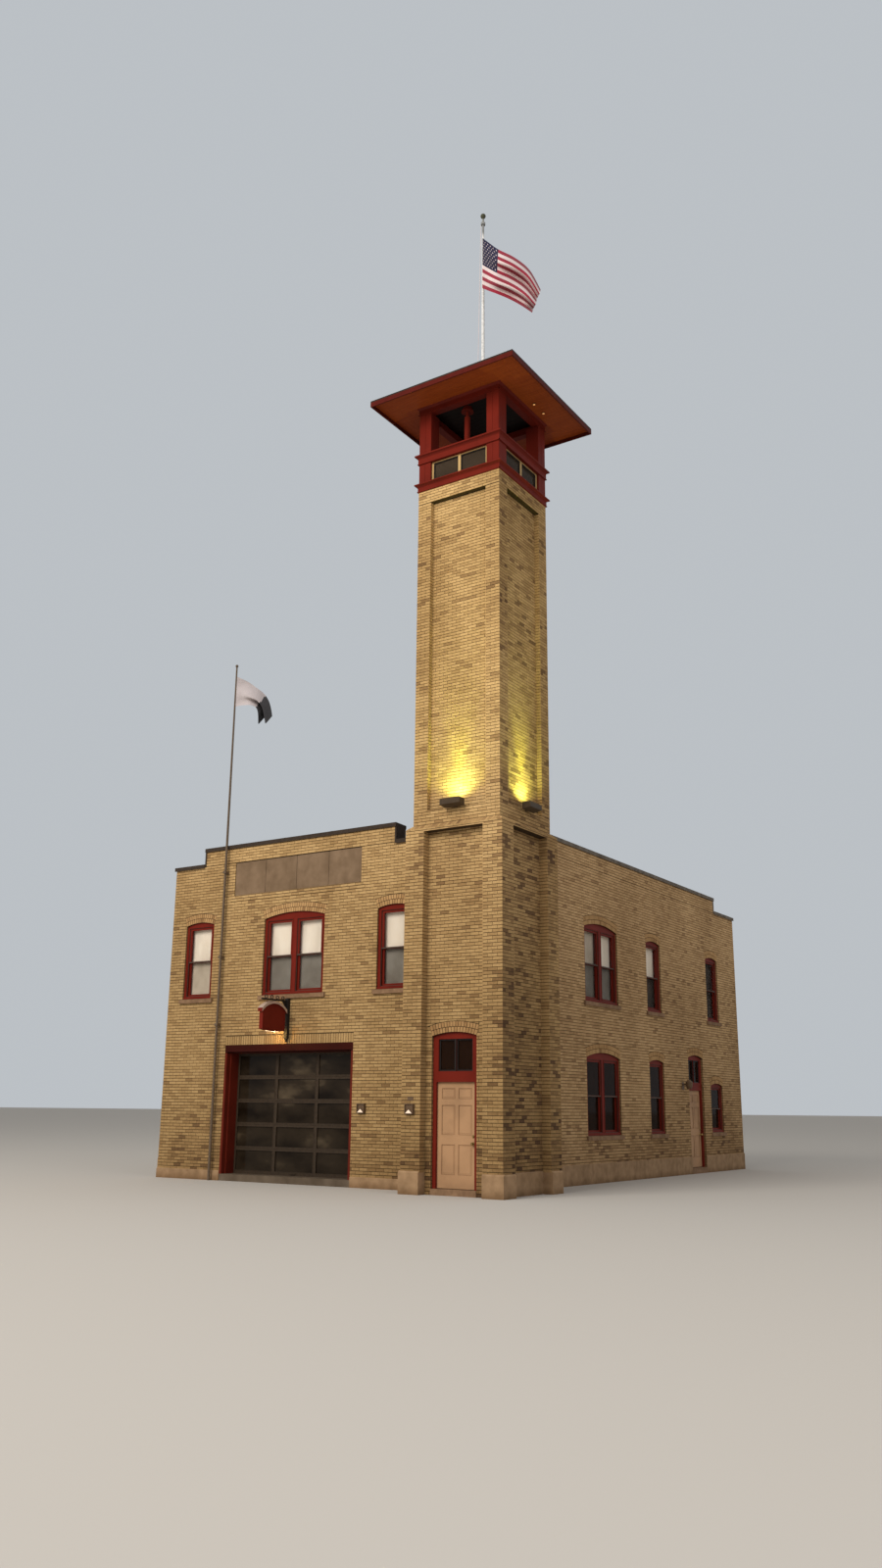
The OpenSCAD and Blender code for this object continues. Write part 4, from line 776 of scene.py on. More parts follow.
def side_bricks():
    pile, holes = Pile(), windows("side") + [door_hole(SIDE_DOOR_Y)]
    ledge_top = BASE_TOP + LEDGE
    for u0, u1, low, top in (
        (TOWER_REAR, REAR, FOOT, PARAPET_LOW), (TOWER_REAR, RAISED_REAR, PARAPET_LOW, ledge_top),
        (TOWER_REAR - BASE_HALF + SHAFT_HALF, RAISED_REAR, ledge_top, PARAPET),
    ):
        brickwork(pile, WALLS["side"][0], u0, u1, low, top, holes, dark=0.24, salt=11)
    pile.piece("bricks_side", "grey_brick_painted_lighter", "brick")


def plain_bricks(name, u0, u1, salt):
    pile = Pile()
    brickwork(pile, WALLS[name][0], u0, u1, FOOT, PARAPET_LOW, windows(name), dark=0.36, salt=salt)
    pile.piece("bricks_" + name, "grey_brick_painted_lighter", "brick")


def returns(pile, plane, edges, v0, v1, depth, dark=None, salt=0):
    """The sides of a sunk panel, bricked or plain, at edges of (place, 1 or -1 for the way it faces)."""
    for u, facing in edges:
        side = Plane(plane.at(u, 0), plane.n * -facing, (0, 0, 1))
        lo, hi = (-BRICK_OUT, depth) if facing > 0 else (-depth, BRICK_OUT)
        if dark is None:
            pile.box(side, lo, hi, v0, v1, SUNK, BRICK_OUT, bottom=False)
            continue
        for k, low, high in courses(v0, v1):
            tone = 0.6 * shade(chance(k, salt, u * 50), dark)
            pile.box(side, lo, hi, low, high, SUNK, BRICK_OUT, tone, bottom=False)


def tower_base_bricks():
    pile, plinths = Pile(), Pile()
    end, half = BASE_HALF + BRICK_OUT, PANEL_HALF
    # For each face: its end piers, the sunk stretch between them, how dark its bricks are, with the right
    # face's high value as painted shade, and the sunk bricks' foot.
    # The last two stretches stop where the main block covers them
    faces = (
        ([(-end, -half), (half, end)], (-half, half), 0.45, 0.0),
        ([(-BASE_HALF, -half), (half, BASE_HALF)], (-half, half), 0.80, FOOT),
        ([(-end, -half)], (-half, RIGHT - TOWER.x - 0.46), 0.60, 0.0),
        ([(half, BASE_HALF)], (0.25, half), 0.50, 0.0),
    )
    for turn, (piers, sunk, dark, foot) in enumerate(faces):
        plane, salt = tower_plane(turn, BASE_HALF), 30 + 10 * turn
        for u0, u1 in piers:
            brickwork(pile, plane, u0, u1, FOOT, BASE_PANEL_TOP, dark=dark, salt=salt)
        ends = [u for pier in piers for u in pier] + list(sunk)
        brickwork(pile, plane, min(ends), max(ends), BASE_PANEL_TOP, BASE_TOP, dark=dark, salt=salt + 1)
        holes = [door_hole(DOOR_X - TOWER.x)] if turn == 0 else []
        brickwork(pile, plane.shifted(-BASE_RECESS), *sunk, foot, BASE_PANEL_TOP, holes, dark, salt + 2)
        edges = [(u, 1 if u < 0 else -1) for u in (-half, half) if u in sunk]
        returns(pile, plane, edges, FOOT, BASE_PANEL_TOP, BASE_RECESS, dark, salt + 3)
        returns(plinths, plane, edges, 0.0, FOOT, BASE_RECESS)
    pile.piece("bricks_tower_base", "brick", "brick")
    plinths.piece("plinth_returns", "render", "render")


def arches():
    """The redder rowlock arches over the windows and doors."""
    pile = Pile()
    for name, (plane, _) in WALLS.items():
        for hole in windows(name):
            hole.arch(pile, plane, 0.36)
    for _, plane, middle, _ in reversed(DOORS):
        door_hole(middle).arch(pile, plane, 0.45)
    pile.piece("brick_arches", "arch_brick", "brick")


def shaft_bricks():
    pile, (low, high) = Pile(), SHAFT_PANEL
    # How dark each face's bricks are; the right face's higher value is painted shade
    for turn, dark in enumerate((0.32, 0.60, 0.45, 0.36)):
        plane, salt = tower_plane(turn, SHAFT_HALF), 80 + 10 * turn
        end = SHAFT_HALF + (BRICK_OUT if turn % 2 == 0 else 0.0)
        for u0, u1, v0, v1, darker_by in (
            (-end, end, BASE_TOP + LEDGE, low, 0), (-end, -PANEL_HALF, low, high, 0.16),
            (PANEL_HALF, end, low, high, 0.06), (-end, end, high, SHAFT_TOP, 0),
        ):
            brickwork(pile, plane, u0, u1, v0, v1, dark=dark + darker_by, salt=salt)
        brickwork(pile, plane.shifted(-SHAFT_RECESS), -PANEL_HALF, PANEL_HALF, low, high, dark=dark - 0.04,
                  salt=salt + 4)
        returns(pile, plane, [(-PANEL_HALF, 1), (PANEL_HALF, -1)], low, high, SHAFT_RECESS, dark, salt + 5)
    pile.piece("bricks_shaft", "brick", "brick")


def ledge_bricks():
    """Sloping bricks on the ledge between the tower's base and its shaft, outside the main block."""
    pile, run, clear = Pile(), BASE_HALF - SHAFT_HALF, 0.03
    count = round(2 * BASE_HALF / COURSE)
    step = 2 * BASE_HALF / count
    for turn in range(4):
        plane, slope = tower_slope(turn, BASE_HALF, BASE_TOP, run, LEDGE)
        for i in range(count):
            a, b = -BASE_HALF + i * step + JOINT / 2, -BASE_HALF + (i + 1) * step - JOINT / 2
            along = TOWER + plane.u * a
            if turn == 2 and along.x < RIGHT + clear or turn == 3 and along.y > FRONT - clear:
                continue
            polygon = mitred(corners((a, b, 0.004, slope)), BASE_HALF, run, slope)
            if area(polygon) > 2e-4:
                pile.prism(plane, polygon, SUNK, 0.004, shade(chance(i, turn, 9), 0.6))
    pile.piece("bricks_ledge", "brick", "brick")


# Windows and doors

def each_window():
    """Each window's wall and plane, middle, width and sill, its lights' foot and head, and their edges."""
    for name, (plane, rows) in WALLS.items():
        for c, sill, tall, width in rows:
            count = 2 if width == PAIR else 1
            light = (width - 2 * CASING - (count - 1) * MULLION) / count
            starts = [-width / 2 + CASING + i * (light + MULLION) for i in range(count)]
            edges = [(c + a, c + (a + light)) for a in starts]
            yield name, plane, c, width, sill, sill + CASING_FOOT, sill + tall - CASING_HEAD, edges


# The blind behind each light, from left to right: the look of its upper and of its lower half. Pale slats
# paint the sky's reflection in the panes, half-lit and dull ones a dimmer painted reflection, and dark ones
# painted shade of the unlit rooms
ROOM_SHADE = [("room_shade", "room_shade")]
BLINDS = {
    "front": [("pale", "half"), ("pale", "dull"), ("pale", "dull"), ("pale", "dull")],
    "side": ROOM_SHADE * 4 + [("half", "dull"), ("pale", "dull"), ("pale", "room_shade")] + ROOM_SHADE,
    "left": ROOM_SHADE * 5 + [("pale", "half"), ("pale", "dull")] * 3,
    "rear": ROOM_SHADE * 4 + [("pale", "half")] * 4,
}


def slats(pile, plane, u0, u1, v0, v1):
    """The nearly upright slats of a closed blind, with its head rail."""
    pitch, rail, back = 0.022, 0.03, -WINDOW_SET - 0.123
    pile.box(plane, u0, u1, v1 - rail, v1, back - rail, back)
    for i in range(int((v1 - rail - v0) / pitch)):
        v = v1 - rail - (i + 1) * pitch
        slat = corners((u0, u1, v, v + 0.024))
        pile.prism(plane, slat, back - 0.012, back - 0.0105, tilt=0.004, bottom=True)


def blinds():
    piles = {look: Pile() for look in ("pale", "half", "dull", "room_shade")}
    hung = {name: iter(looks) for name, looks in BLINDS.items()}
    for name, plane, _, _, _, foot, head, edges in each_window():
        foot, head = foot + 0.03, head - 0.01
        middle = (foot + head) / 2
        for a, b in edges:
            upper, lower = next(hung[name])
            slats(piles[upper], plane, a + 0.015, b - 0.015, middle, head)
            slats(piles[lower], plane, a + 0.015, b - 0.015, foot, middle)
    for look, pile in piles.items():
        pile.piece("blinds_" + look, look, "beige_paint")


def casing_beads():
    """A stop bead round each light and a drip board on each wooden sill."""
    pile, bead, gap, back = Pile(), 0.014, 0.004, -WINDOW_SET
    for _, plane, c, width, sill, foot, head, edges in each_window():
        for a, b in edges:
            for u0, u1, v0 in ((a - bead, a, foot), (b, b + bead, foot), (a, b, head)):
                pile.box(plane, u0, u1, v0, head + bead, back, back + 0.008, bottom=False)
        u0, u1 = c - width / 2 + gap, c + width / 2 - gap
        pile.box(plane, u0, u1, sill + gap, foot - 0.012, back, back + 0.022, bottom=False)
    pile.piece("window_beads", "red", "red_paint")


def storm_sashes():
    """Thin aluminium storm sashes before the wooden ones, with a slim bar at the meeting rails."""
    pile, rail, bar = Pile(), 0.010, 0.013
    back, front = -(WINDOW_SET + 0.0215), -(WINDOW_SET + 0.013)
    for _, plane, _, _, _, foot, head, edges in each_window():
        middle = (foot + head) / 2
        for a, b in edges:
            pile.ring(plane, a, b, foot, head, rail, back, front)
            pile.box(plane, a + rail, b - rail, middle - bar, middle + bar, back, front)
    pile.piece("storm_sashes", "storm", "fitting_metal")


def transom_sashes():
    """Dark sashes in the windows over the doors, with a bar on the post between them."""
    pile, inner, outer = Pile(), 0.014, 0.4025
    for _, plane, c, floor in DOORS:
        foot, head = floor + LEAF_FOOT_GAP + LEAF_H + TRANSOM, DOOR_SPRING - 0.06
        for u0, u1 in ((c - outer, c - inner), (c + inner, c + outer)):
            pile.ring(plane, u0, u1, foot, head, 0.028, -0.109, -0.085)
        pile.box(plane, c - inner - 0.0005, c + inner + 0.0005, foot, head, -0.060, -0.0535)
    pile.piece("transom_sashes", "black", "fitting_metal")


def door_mouldings():
    """Raised mouldings round the six panels of each door, in a darker beige that paints the shade round the
    panels.
    """
    stile, middle, lip = 0.110, 0.090, 0.006
    panel = (LEAF_W - 2 * stile - middle) / 2
    for name, plane, c, floor in DOORS:
        pile, left = Pile(), c - LEAF_W / 2 + stile
        # Foot and height of each row of panels, as shares of the leaf's height
        for foot, tall in ((0.130, 0.277), (0.501, 0.277), (0.840, 0.098)):
            v0 = floor + LEAF_FOOT_GAP + foot * LEAF_H
            for u0 in (left, left + panel + middle):
                pile.ring(plane, u0 - lip, u0 + panel + lip, v0 - lip, v0 + tall * LEAF_H + lip, 0.012,
                          -LEAF_SET - 0.0005, -LEAF_SET + 0.0035)
        pile.piece(name + "_mouldings", "moulding_shade", "beige_paint", name + "_leaf")


def garage_hardware():
    """Rubber foot seal, beads round the panes and a lift handle on the garage door."""
    pile, plane = Pile(), WALLS["front"][0]
    (left, right), top = span("garage_door", "x"), span("garage_door", "z")[1]
    face = FRONT - span("garage_door", "y")[0]
    rail, columns, rows = 0.07, 3, 5
    pile.box(plane, GARAGE[0] + 0.09, GARAGE[1] - 0.09, FLOOR, FLOOR + 0.028, face, face + 0.006)
    width, height = (right - left - rail) / columns, (top - FLOOR - rail) / rows
    for i in range(columns):
        for j in range(rows):
            a, b = left + rail + i * width, FLOOR + rail + j * height
            pile.ring(plane, a, a + width - rail, b, b + height - rail, 0.012, face - 0.004, face + 0.0055)
    middle = (left + right) / 2
    pile.box(plane, middle - 0.07, middle + 0.07, FLOOR + 0.030, FLOOR + 0.052, face, face + 0.028)
    pile.piece("garage_glazing_beads", "dark_bronze", "bronze_metal")


def turned(name, profile, at, axis, look, body="building", steps=32):
    """A lathe-turned piece of (radius, distance along the axis) points."""
    across = Vector((0, 0, 1)) if abs(axis.z) < 0.5 else Vector((1, 0, 0))
    side = axis.cross(across).normalized()
    turns = [2 * math.pi * i / steps for i in range(steps)]
    rim = [across * math.cos(a) + side * math.sin(a) for a in turns]
    verts = [at + axis * d + way * r for r, d in profile for way in rim]
    faces = []
    for k in range(0, len(verts) - steps, steps):
        for i in range(steps):
            j = (i + 1) % steps
            faces.append([k + i, k + j, k + steps + j, k + steps + i])
    faces += [list(range(steps - 1, -1, -1)), list(range(len(verts) - steps, len(verts)))]
    mesh_piece(name, verts, faces, [look], body)


def door_furniture():
    """Brass knob and bolt over the leaf's own turned ones."""
    knob = [(0.034, 0.0), (0.034, 0.006), (0.030, 0.010), (0.014, 0.014), (0.013, 0.030), (0.022, 0.036),
            (0.0285, 0.046), (0.0290, 0.056), (0.0265, 0.068), (0.018, 0.077), (0.004, 0.080)]
    bolt = [(0.025, 0.0), (0.025, 0.012), (0.0235, 0.020), (0.019, 0.0225), (0.009, 0.0235), (0.003, 0.0215)]
    for name, plane, c, floor in DOORS:
        for label, profile, height in (("knob", knob, 0.85), ("bolt", bolt, 0.99)):
            at = plane.at(c + LEAF_W / 2 - 0.065, floor + LEAF_FOOT_GAP + height, -LEAF_SET)
            turned(f"{name}_{label}", profile, at, plane.n, "brass", name + "_leaf")


# Belfry and roof

def post_boards():
    """Upright boards with open joints on the faces of the belfry's posts."""
    pile, gap = Pile(), 0.005
    for turn in range(4):
        for v0, v1 in (BAND, OPEN):
            for u0 in (-SHAFT_HALF, SHAFT_HALF - POST):
                for i in range(2):
                    a, b = u0 + i * POST / 2 + gap / 2, u0 + (i + 1) * POST / 2 - gap / 2
                    pile.box(tower_plane(turn, SHAFT_HALF), a, b, v0, v1, SUNK, 0.006, chance(turn, i, v0),
                             bottom=False)
    pile.piece("post_boards", "red", "red_paint")


def band_sashes():
    """Dark sashes in the window band."""
    pile, light = Pile(), SHAFT_HALF - POST - BAND_TRIM - BAND_MULLION / 2
    foot, head = BAND[0] + 0.025, BAND[1] - 0.025
    for turn in range(4):
        for u0 in (-light - BAND_MULLION / 2, BAND_MULLION / 2):
            plane = tower_plane(turn, SHAFT_HALF - BAND_SET)
            pile.ring(plane, u0, u0 + light, foot, head, 0.026, -0.029, -0.012)
    pile.piece("band_sashes", "black", "fitting_metal")


def cornice_beads():
    """Beads along the cornices and the head beam."""
    pile, out = Pile(), 0.012
    for turn in range(4):
        for z, over in ((SHAFT_TOP, 0.022), (BAND[1], 0.022), (OPEN[1], 0.015)):
            half, end = SHAFT_HALF + over, SHAFT_HALF + over + out
            pile.box(tower_plane(turn, half), -end, end, z + 0.006, z + 0.026, SUNK, out, bottom=False)
    pile.piece("cornice_beads", "red", "red_paint")


def soffit_boards():
    """Narrow boards under the eaves, mitred at the corners, with painted light: lighter in the inner rows and
    darker by the fascia.
    """
    rows, joint = 6, 0.0025
    step = (ROOF_HALF - FASCIA_T - SOFFIT_INNER) / rows
    for look, label, turns in (("soffit", "x", (0, 2)), ("soffit_y", "y", (1, 3))):
        pile = Pile()
        for turn in turns:
            plane = tower_plane(turn, 0)
            down = Plane((TOWER.x, TOWER.y, SOFFIT), plane.u * -1, plane.n)
            for i in range(rows):
                a, b = SOFFIT_INNER + i * step + joint, SOFFIT_INNER + (i + 1) * step - joint
                polygon = [(a - 0.002, a), (b - 0.002, b), (-b + 0.002, b), (-a + 0.002, a)]
                # Painted light and shade: lighter towards the wall, darker towards the fascia, with some
                # chance
                pile.prism(down, polygon, -0.001, 0.010, 0.7 * (1 - i / rows) + 0.3 * chance(turn, i, 5))
        pile.piece("eave_boards_" + label, look, "soffit_boards")


def ceiling_boards_in_painted_shade():
    """Boards on the belfry's ceiling, near black as painted shade under the roof."""
    pile, count = Pile(), 13
    down = Plane((TOWER.x, TOWER.y, SOFFIT), (-1, 0, 0), (0, 1, 0))
    step = 2 * CEILING / count
    for i in range(count):
        a, b = -CEILING + i * step + 0.002, -CEILING + (i + 1) * step - 0.002
        pile.box(down, -CEILING, CEILING, a, b, -0.001, 0.008, chance(i, 66), bottom=False)
    pile.piece("ceiling_boards_in_painted_shade", "ceiling", "soffit_boards")


def roof_shingles():
    """Courses of shingles on the four slopes."""
    pile, exposure, lap, width, gap = Pile(), 0.135, 0.03, 0.30, 0.006
    for turn in range(4):
        plane, slope = tower_slope(turn, ROOF_HALF, ROOF_FOOT, ROOF_RUN, ROOF_RISE)
        for k in range(int(slope / exposure)):
            v0, v1 = k * exposure, min(slope, (k + 1) * exposure + lap)
            shift = width * (0.0, 0.5)[k % 2]
            for i in range(-8, 8):
                shingle = corners((i * width + shift, (i + 1) * width + shift - gap, v0, v1))
                shingle = mitred(shingle, ROOF_HALF, ROOF_RUN, slope)
                if area(shingle) > 1e-3:
                    foot = gap if k == 0 else 0.0
                    shingle = [(u, max(v, foot)) for u, v in shingle]
                    pile.prism(plane, shingle, 0.0, 0.003, chance(turn, k, i), tilt=0.006)
    pile.piece("roof_shingles", "shingle", "shingles")


def hip_caps():
    """Folded caps over the hips of the tower's roof."""
    pile, count, inset, wide, thick = Pile(), 13, 0.07, 0.08, Vector((0, 0, 0.012))
    drop = Vector((0, 0, -ROOF_RISE / ROOF_RUN * wide / math.sqrt(2)))
    for turn in range(4):
        a = math.radians(45 + 90 * turn)
        out = Vector((math.cos(a), math.sin(a), 0)) * math.sqrt(2)
        along = Vector((-math.sin(a), math.cos(a), 0))
        for k in range(count):
            ends = []
            for t, lift in ((k / count, 0.020), (min(1.0, (k + 1.15) / count), 0.010)):
                run = inset + (ROOF_RUN - inset) * t
                z = ROOF_FOOT + ROOF_RISE * run / ROOF_RUN + lift
                ends.append(TOWER + out * (ROOF_HALF - run) + Vector((0, 0, z)))
            for side in (-1, 1):
                fold, start = along * side * wide + drop, len(pile.verts)
                quad = [ends[0], ends[0] + fold, ends[1] + fold, ends[1]]
                pile.verts += quad + [point - thick for point in quad]
                faces = [[0, 1, 2, 3]] + [[i, 4 + i, 4 + (i + 1) % 4, (i + 1) % 4] for i in range(4)]
                for face in faces:
                    pile.faces.append([start + i for i in (face if side < 0 else face[::-1])])
                pile.tones += [chance(turn, k, 3)] * 5
    pile.piece("hip_caps", "shingle", "shingles")


# Copings and flat roof

def coping_joints():
    """Cover strips over the joints of the copings, on their tops and outer faces."""
    dark, grey = Pile(), Pile()
    over, top, fall, half = 0.04, 0.065, 0.012, 0.035
    run = WALL + 2 * over
    # Each row of strips: its pile and wall, its height, the first strip's place, the spacing and the count
    for pile, name, z, first, step, count in (
        (dark, "front", PARAPET, -2.4, 1.4, 4), (grey, "side", PARAPET, -4.8, 1.2, 9),
        (grey, "left", PARAPET_LOW, -5.75, 1.15, 11), (grey, "rear", PARAPET_LOW, -3.6, 1.2, 7),
    ):
        plane = WALLS[name][0]
        inwards = (plane.n * -run + Vector((0, 0, -fall))).normalized()
        for i in range(count):
            strip = Plane(plane.at(first + i * step, z + top, over), plane.u, inwards)
            pile.box(strip, -half, half, 0.001, math.hypot(run, fall) - 0.001, SUNK, 0.0025, bottom=False)
    dark.piece("front_coping_joints", "dark_metal", "dark_coping")
    grey.piece("side_coping_joints", "tile", "grey_coping")


def roof_seams():
    """Lapped strips of felt on the flat roof, and turned-up edges at the parapets."""
    pile, flat = Pile(), Plane((0, 0, ROOF_DECK), (1, 0, 0), (0, 1, 0))
    left, right, front, rear = LEFT + WALL, RIGHT - WALL, FRONT + WALL, REAR - WALL
    for i in range(14):
        y = front + 0.4 + i
        end = right if y > TOWER_REAR else TOWER_LEFT
        pile.box(flat, left, end, y, y + 0.09, -0.001, 0.006, bottom=False)
    for plane, u0, u1 in ((wall(0, rear, 0), left, right), (wall(0, front, 2), -TOWER_LEFT, right),
                          (wall(right, 0, 3), -rear, -TOWER_REAR), (wall(left, 0, 1), front, rear)):
        pile.box(plane, u0, u1, ROOF_DECK, ROOF_DECK + 0.20, -0.001, 0.008, bottom=False)
    pile.piece("roof_felt_laps", "felt", "roofing")


# Lamps, sign, pole rope

def flood_lenses():
    pile = Pile()
    for turn in (0, 1):
        plane = tower_plane(turn, SHAFT_HALF)
        face = Plane(plane.at(0, FLOOD_TOP, 0.06), plane.u, plane.n * -1)
        pile.box(face, -0.225, 0.225, -0.185, -0.015, -0.004, 0.004)
    pile.piece("flood_lenses", "flood", "glass")


def lamp_lenses():
    """A three-cornered lens at the foot of each square wall lamp, a rim round it, and a plate over one."""
    lenses, rims, tower = Pile(), Pile(), tower_plane(0, BASE_HALF)
    for plane, c in ((WALLS["front"][0], 1.46), (tower, -0.96)):
        low, high, half = LAMP_FOOT + 0.014, LAMP_FOOT + 0.082, 0.076
        lenses.prism(plane, [(c - half, low), (c + half, low), (c, high)], 0.066, 0.0735, bottom=True)
        rims.ring(plane, c - LAMP / 2, c + LAMP / 2, LAMP_FOOT, LAMP_FOOT + LAMP, 0.012, 0.068, 0.075)
    rims.box(tower, -1.03, -0.89, 1.79, 1.86, SUNK, 0.014)
    lenses.piece("lamp_lenses", "lens", "glass")
    rims.piece("lamp_rims", "plaque", "bronze_metal")


def soffit_bulbs():
    """Lit lenses on the two small lamps under the eave."""
    bulb = [(0.026, 0.0), (0.026, 0.003), (0.016, 0.008), (0.002, 0.010)]
    for i, y in enumerate((0.13, 0.58)):
        at = Vector((TOWER.x + 1.31, TOWER.y + y, SOFFIT - 0.0195))
        turned(f"soffit_bulb_{i + 1}", bulb, at, Vector((0, 0, -1)), "bulb", steps=20)


def lantern_shade():
    """The bronze shade of the lantern by the side door."""
    profile = [(0.069, 0.012), (0.082, 0.060), (0.098, 0.165), (0.099, 0.172), (0.060, 0.205), (0.02, 0.226)]
    at = WALLS["side"][0].at(2.90, 2.21, 0.19)
    turned("lantern_shade", profile, at, Vector((0, 0, 1)), "plaque")


SIGN = Vector((centre("sign_board", "x")[0], centre("sign_board", "y")[0], span("sign_board", "z")[0]))
SIGN_W, SIGN_H, SIGN_RISE, SIGN_T = 0.76, 0.47, 0.15, 0.10
SIGN_R = (SIGN_W ** 2 / 4 + SIGN_RISE ** 2) / (2 * SIGN_RISE)
SIGN_CENTRE = SIGN_H + SIGN_RISE - SIGN_R


def sign_plane(side):
    """The plane through the middle of the sign's board, seen from its right (1) or left (-1)."""
    return Plane(SIGN, (0, side, 0))


def sign_hood():
    """Pale metal over the arched hood, as a skin on its top, its underside and both faces."""
    pile, plane, steps, skin = Pile(), sign_plane(1), 28, 0.0015
    thick, over, lip, drip = 0.045, 0.04, 0.02, 0.010
    half, depth = SIGN_W / 2 + over, SIGN_T / 2 + lip + skin
    outer, inner = SIGN_R + thick + skin, SIGN_R - drip
    for i in range(steps):
        ends = [-half + 2 * half * k / steps for k in (i, i + 1)]
        a, b = [(u, SIGN_CENTRE + math.sqrt(outer ** 2 - u * u)) for u in ends]
        c, d = [(u, SIGN_CENTRE + math.sqrt(inner ** 2 - u * u)) for u in ends]
        pile.prism(plane, [(a[0], a[1] - 0.002), (b[0], b[1] - 0.002), b, a], -depth, depth, bottom=True)
        for out in (depth, -depth + skin):
            pile.prism(plane, [c, d, b, a], out - skin, out, bottom=True)
    pile.piece("sign_hood_metal", "gilt", "fitting_metal")


def sign_faces():
    """A moulded bead round each sunk face, and the lamp strip in the board's foot."""
    pile, strip, steps, bead = Pile(), Pile(), 16, 0.008
    inner, edge = SIGN_R - 0.040, SIGN_W / 2 - 0.034
    half = math.asin(edge / inner)
    outline = [(-edge, 0.062), (0, 0.034), (edge, 0.062)]
    for a in (half - 2 * half * i / steps for i in range(steps + 1)):
        outline.append((inner * math.sin(a), SIGN_CENTRE + inner * math.cos(a)))
    for side in (-1, 1):
        plane = sign_plane(side).shifted(SIGN_T / 2 - 0.006)
        for (u0, v0), (u1, v1) in zip(outline, outline[1:] + outline[:1]):
            size = math.hypot(u1 - u0, v1 - v0)
            nu, nv = -(v1 - v0) / size * bead, (u1 - u0) / size * bead
            pile.prism(plane, [(u0, v0), (u1, v1), (u1 + nu, v1 + nv), (u0 + nu, v0 + nv)], -0.001, 0.005)
    pile.piece("sign_beads", "red", "red_paint")
    strip.box(sign_plane(1), -0.20, 0.20, -0.004, 0.012, -0.018, 0.018)
    strip.piece("sign_lamp_strip", "strip", "glass")


def tube(name, points, radius, look):
    """A round bar or rope along points."""
    curve = bpy.data.curves.new(name, "CURVE")
    curve.dimensions = "3D"
    curve.bevel_depth = radius
    curve.bevel_resolution = 3
    curve.use_fill_caps = True
    spline = curve.splines.new("POLY")
    spline.points.add(len(points) - 1)
    for point, p in zip(spline.points, points):
        point.co = (*p, 1)
    source = bpy.data.objects.new(name + "_curve", curve)
    mesh = bpy.data.meshes.new_from_object(source)
    bpy.data.objects.remove(source)
    mesh.name = name
    mesh.materials.clear()
    mesh.materials.append(MAT[look])
    mesh.polygons.foreach_set("use_smooth", np.ones(len(mesh.polygons), bool))
    settle(name, mesh)


def halyards():
    """A taut rope beside the tall pole, with its cleat and the arm that holds the cleat."""
    x, y = TOWER.x, TOWER.y
    low = x - 0.150
    rope = [(x - 0.062, y, 22.84), (x - 0.106, y, 20.6), (low, y, 18.42)]
    tube("halyard", rope, 0.006, "white_cloth")
    tube("halyard_cleat", [(low, y, 18.36), (low, y, 18.50)], 0.012, "galvanized")
    tube("halyard_tie", [(low, y, 18.43), (x - 0.030, y, 18.43)], 0.010, "galvanized")


# Flags

FOLD_WAY = Vector((-0.39, 0.69, 0.61))
CANTON = (0.4, 7 / 13)


def smooth_curve(points, s):
    """The place at s, from 0 to 1, on a smooth curve through evenly spaced points."""
    k = min(int(s * (len(points) - 1)), len(points) - 2)
    f = s * (len(points) - 1) - k
    a, b, c, d = (Vector(points[min(max(i, 0), len(points) - 1)]) for i in range(k - 1, k + 3))
    return (2 * b + (c - a) * f + (2 * a - 5 * b + 4 * c - d) * f ** 2 + (3 * b - a - 3 * c + d) * f ** 3) / 2


def flag_surface(spec, depth):
    """The place of a point (s along the fly, t down the hoist) of a flag, from 0 to 1 each."""
    edges = {}

    def at(s, t):
        if s not in edges:
            edges[s] = smooth_curve(spec["top"], s), smooth_curve(spec["low"], s)
        top, low = edges[s]
        phase = 2 * math.pi * (spec["folds"] * t + 0.35 * s) + spec["phase"]
        wave = math.sin(phase) + 0.35 * math.sin(2 * math.pi * 1.6 * s + 2.0 * t)
        return spec["origin"] + top.lerp(low, t) + FOLD_WAY * depth * s * wave
    return at


def flag_area(at, columns=48, rows=40):
    points = np.array([[at(i / columns, j / rows) for j in range(rows + 1)] for i in range(columns + 1)])
    a, b = points[1:, :-1] - points[:-1, :-1], points[:-1, 1:] - points[:-1, :-1]
    return np.linalg.norm(np.cross(a, b), axis=2).sum()


def flag_piece(name, spec, look_at, node_name):
    """A waving sheet whose folds are as deep as its cut size asks for."""
    low, high = 0.0, 0.6
    for _ in range(22):
        depth = (low + high) / 2
        if flag_area(flag_surface(spec, depth)) < spec["flat"][0] * spec["flat"][1]:
            low = depth
        else:
            high = depth
    at, (columns, rows) = flag_surface(spec, depth), spec["grid"]
    verts = [at(i / columns, j / rows) for i in range(columns + 1) for j in range(rows + 1)]
    faces, looks = [], []
    for i in range(columns):
        for j in range(rows):
            k = i * (rows + 1) + j
            faces.append([k, k + 1, k + rows + 2, k + rows + 1])
            looks.append(look_at((i + 0.5) / columns, (j + 0.5) / rows))
    names = sorted(set(looks))
    obj = mesh_piece(name, verts, faces, names, shares=[names.index(look) for look in looks])
    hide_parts(node_name)
    return obj, at


def stripes(s, t):
    if s < CANTON[0] and t < CANTON[1]:
        return "blue_cloth"
    return "red_cloth" if int(t * 13) % 2 == 0 else "white_cloth"


def plain_with_dark_end(s, t):
    return "dark_cloth" if s > 0.70 - 0.10 * t else "grey_cloth"


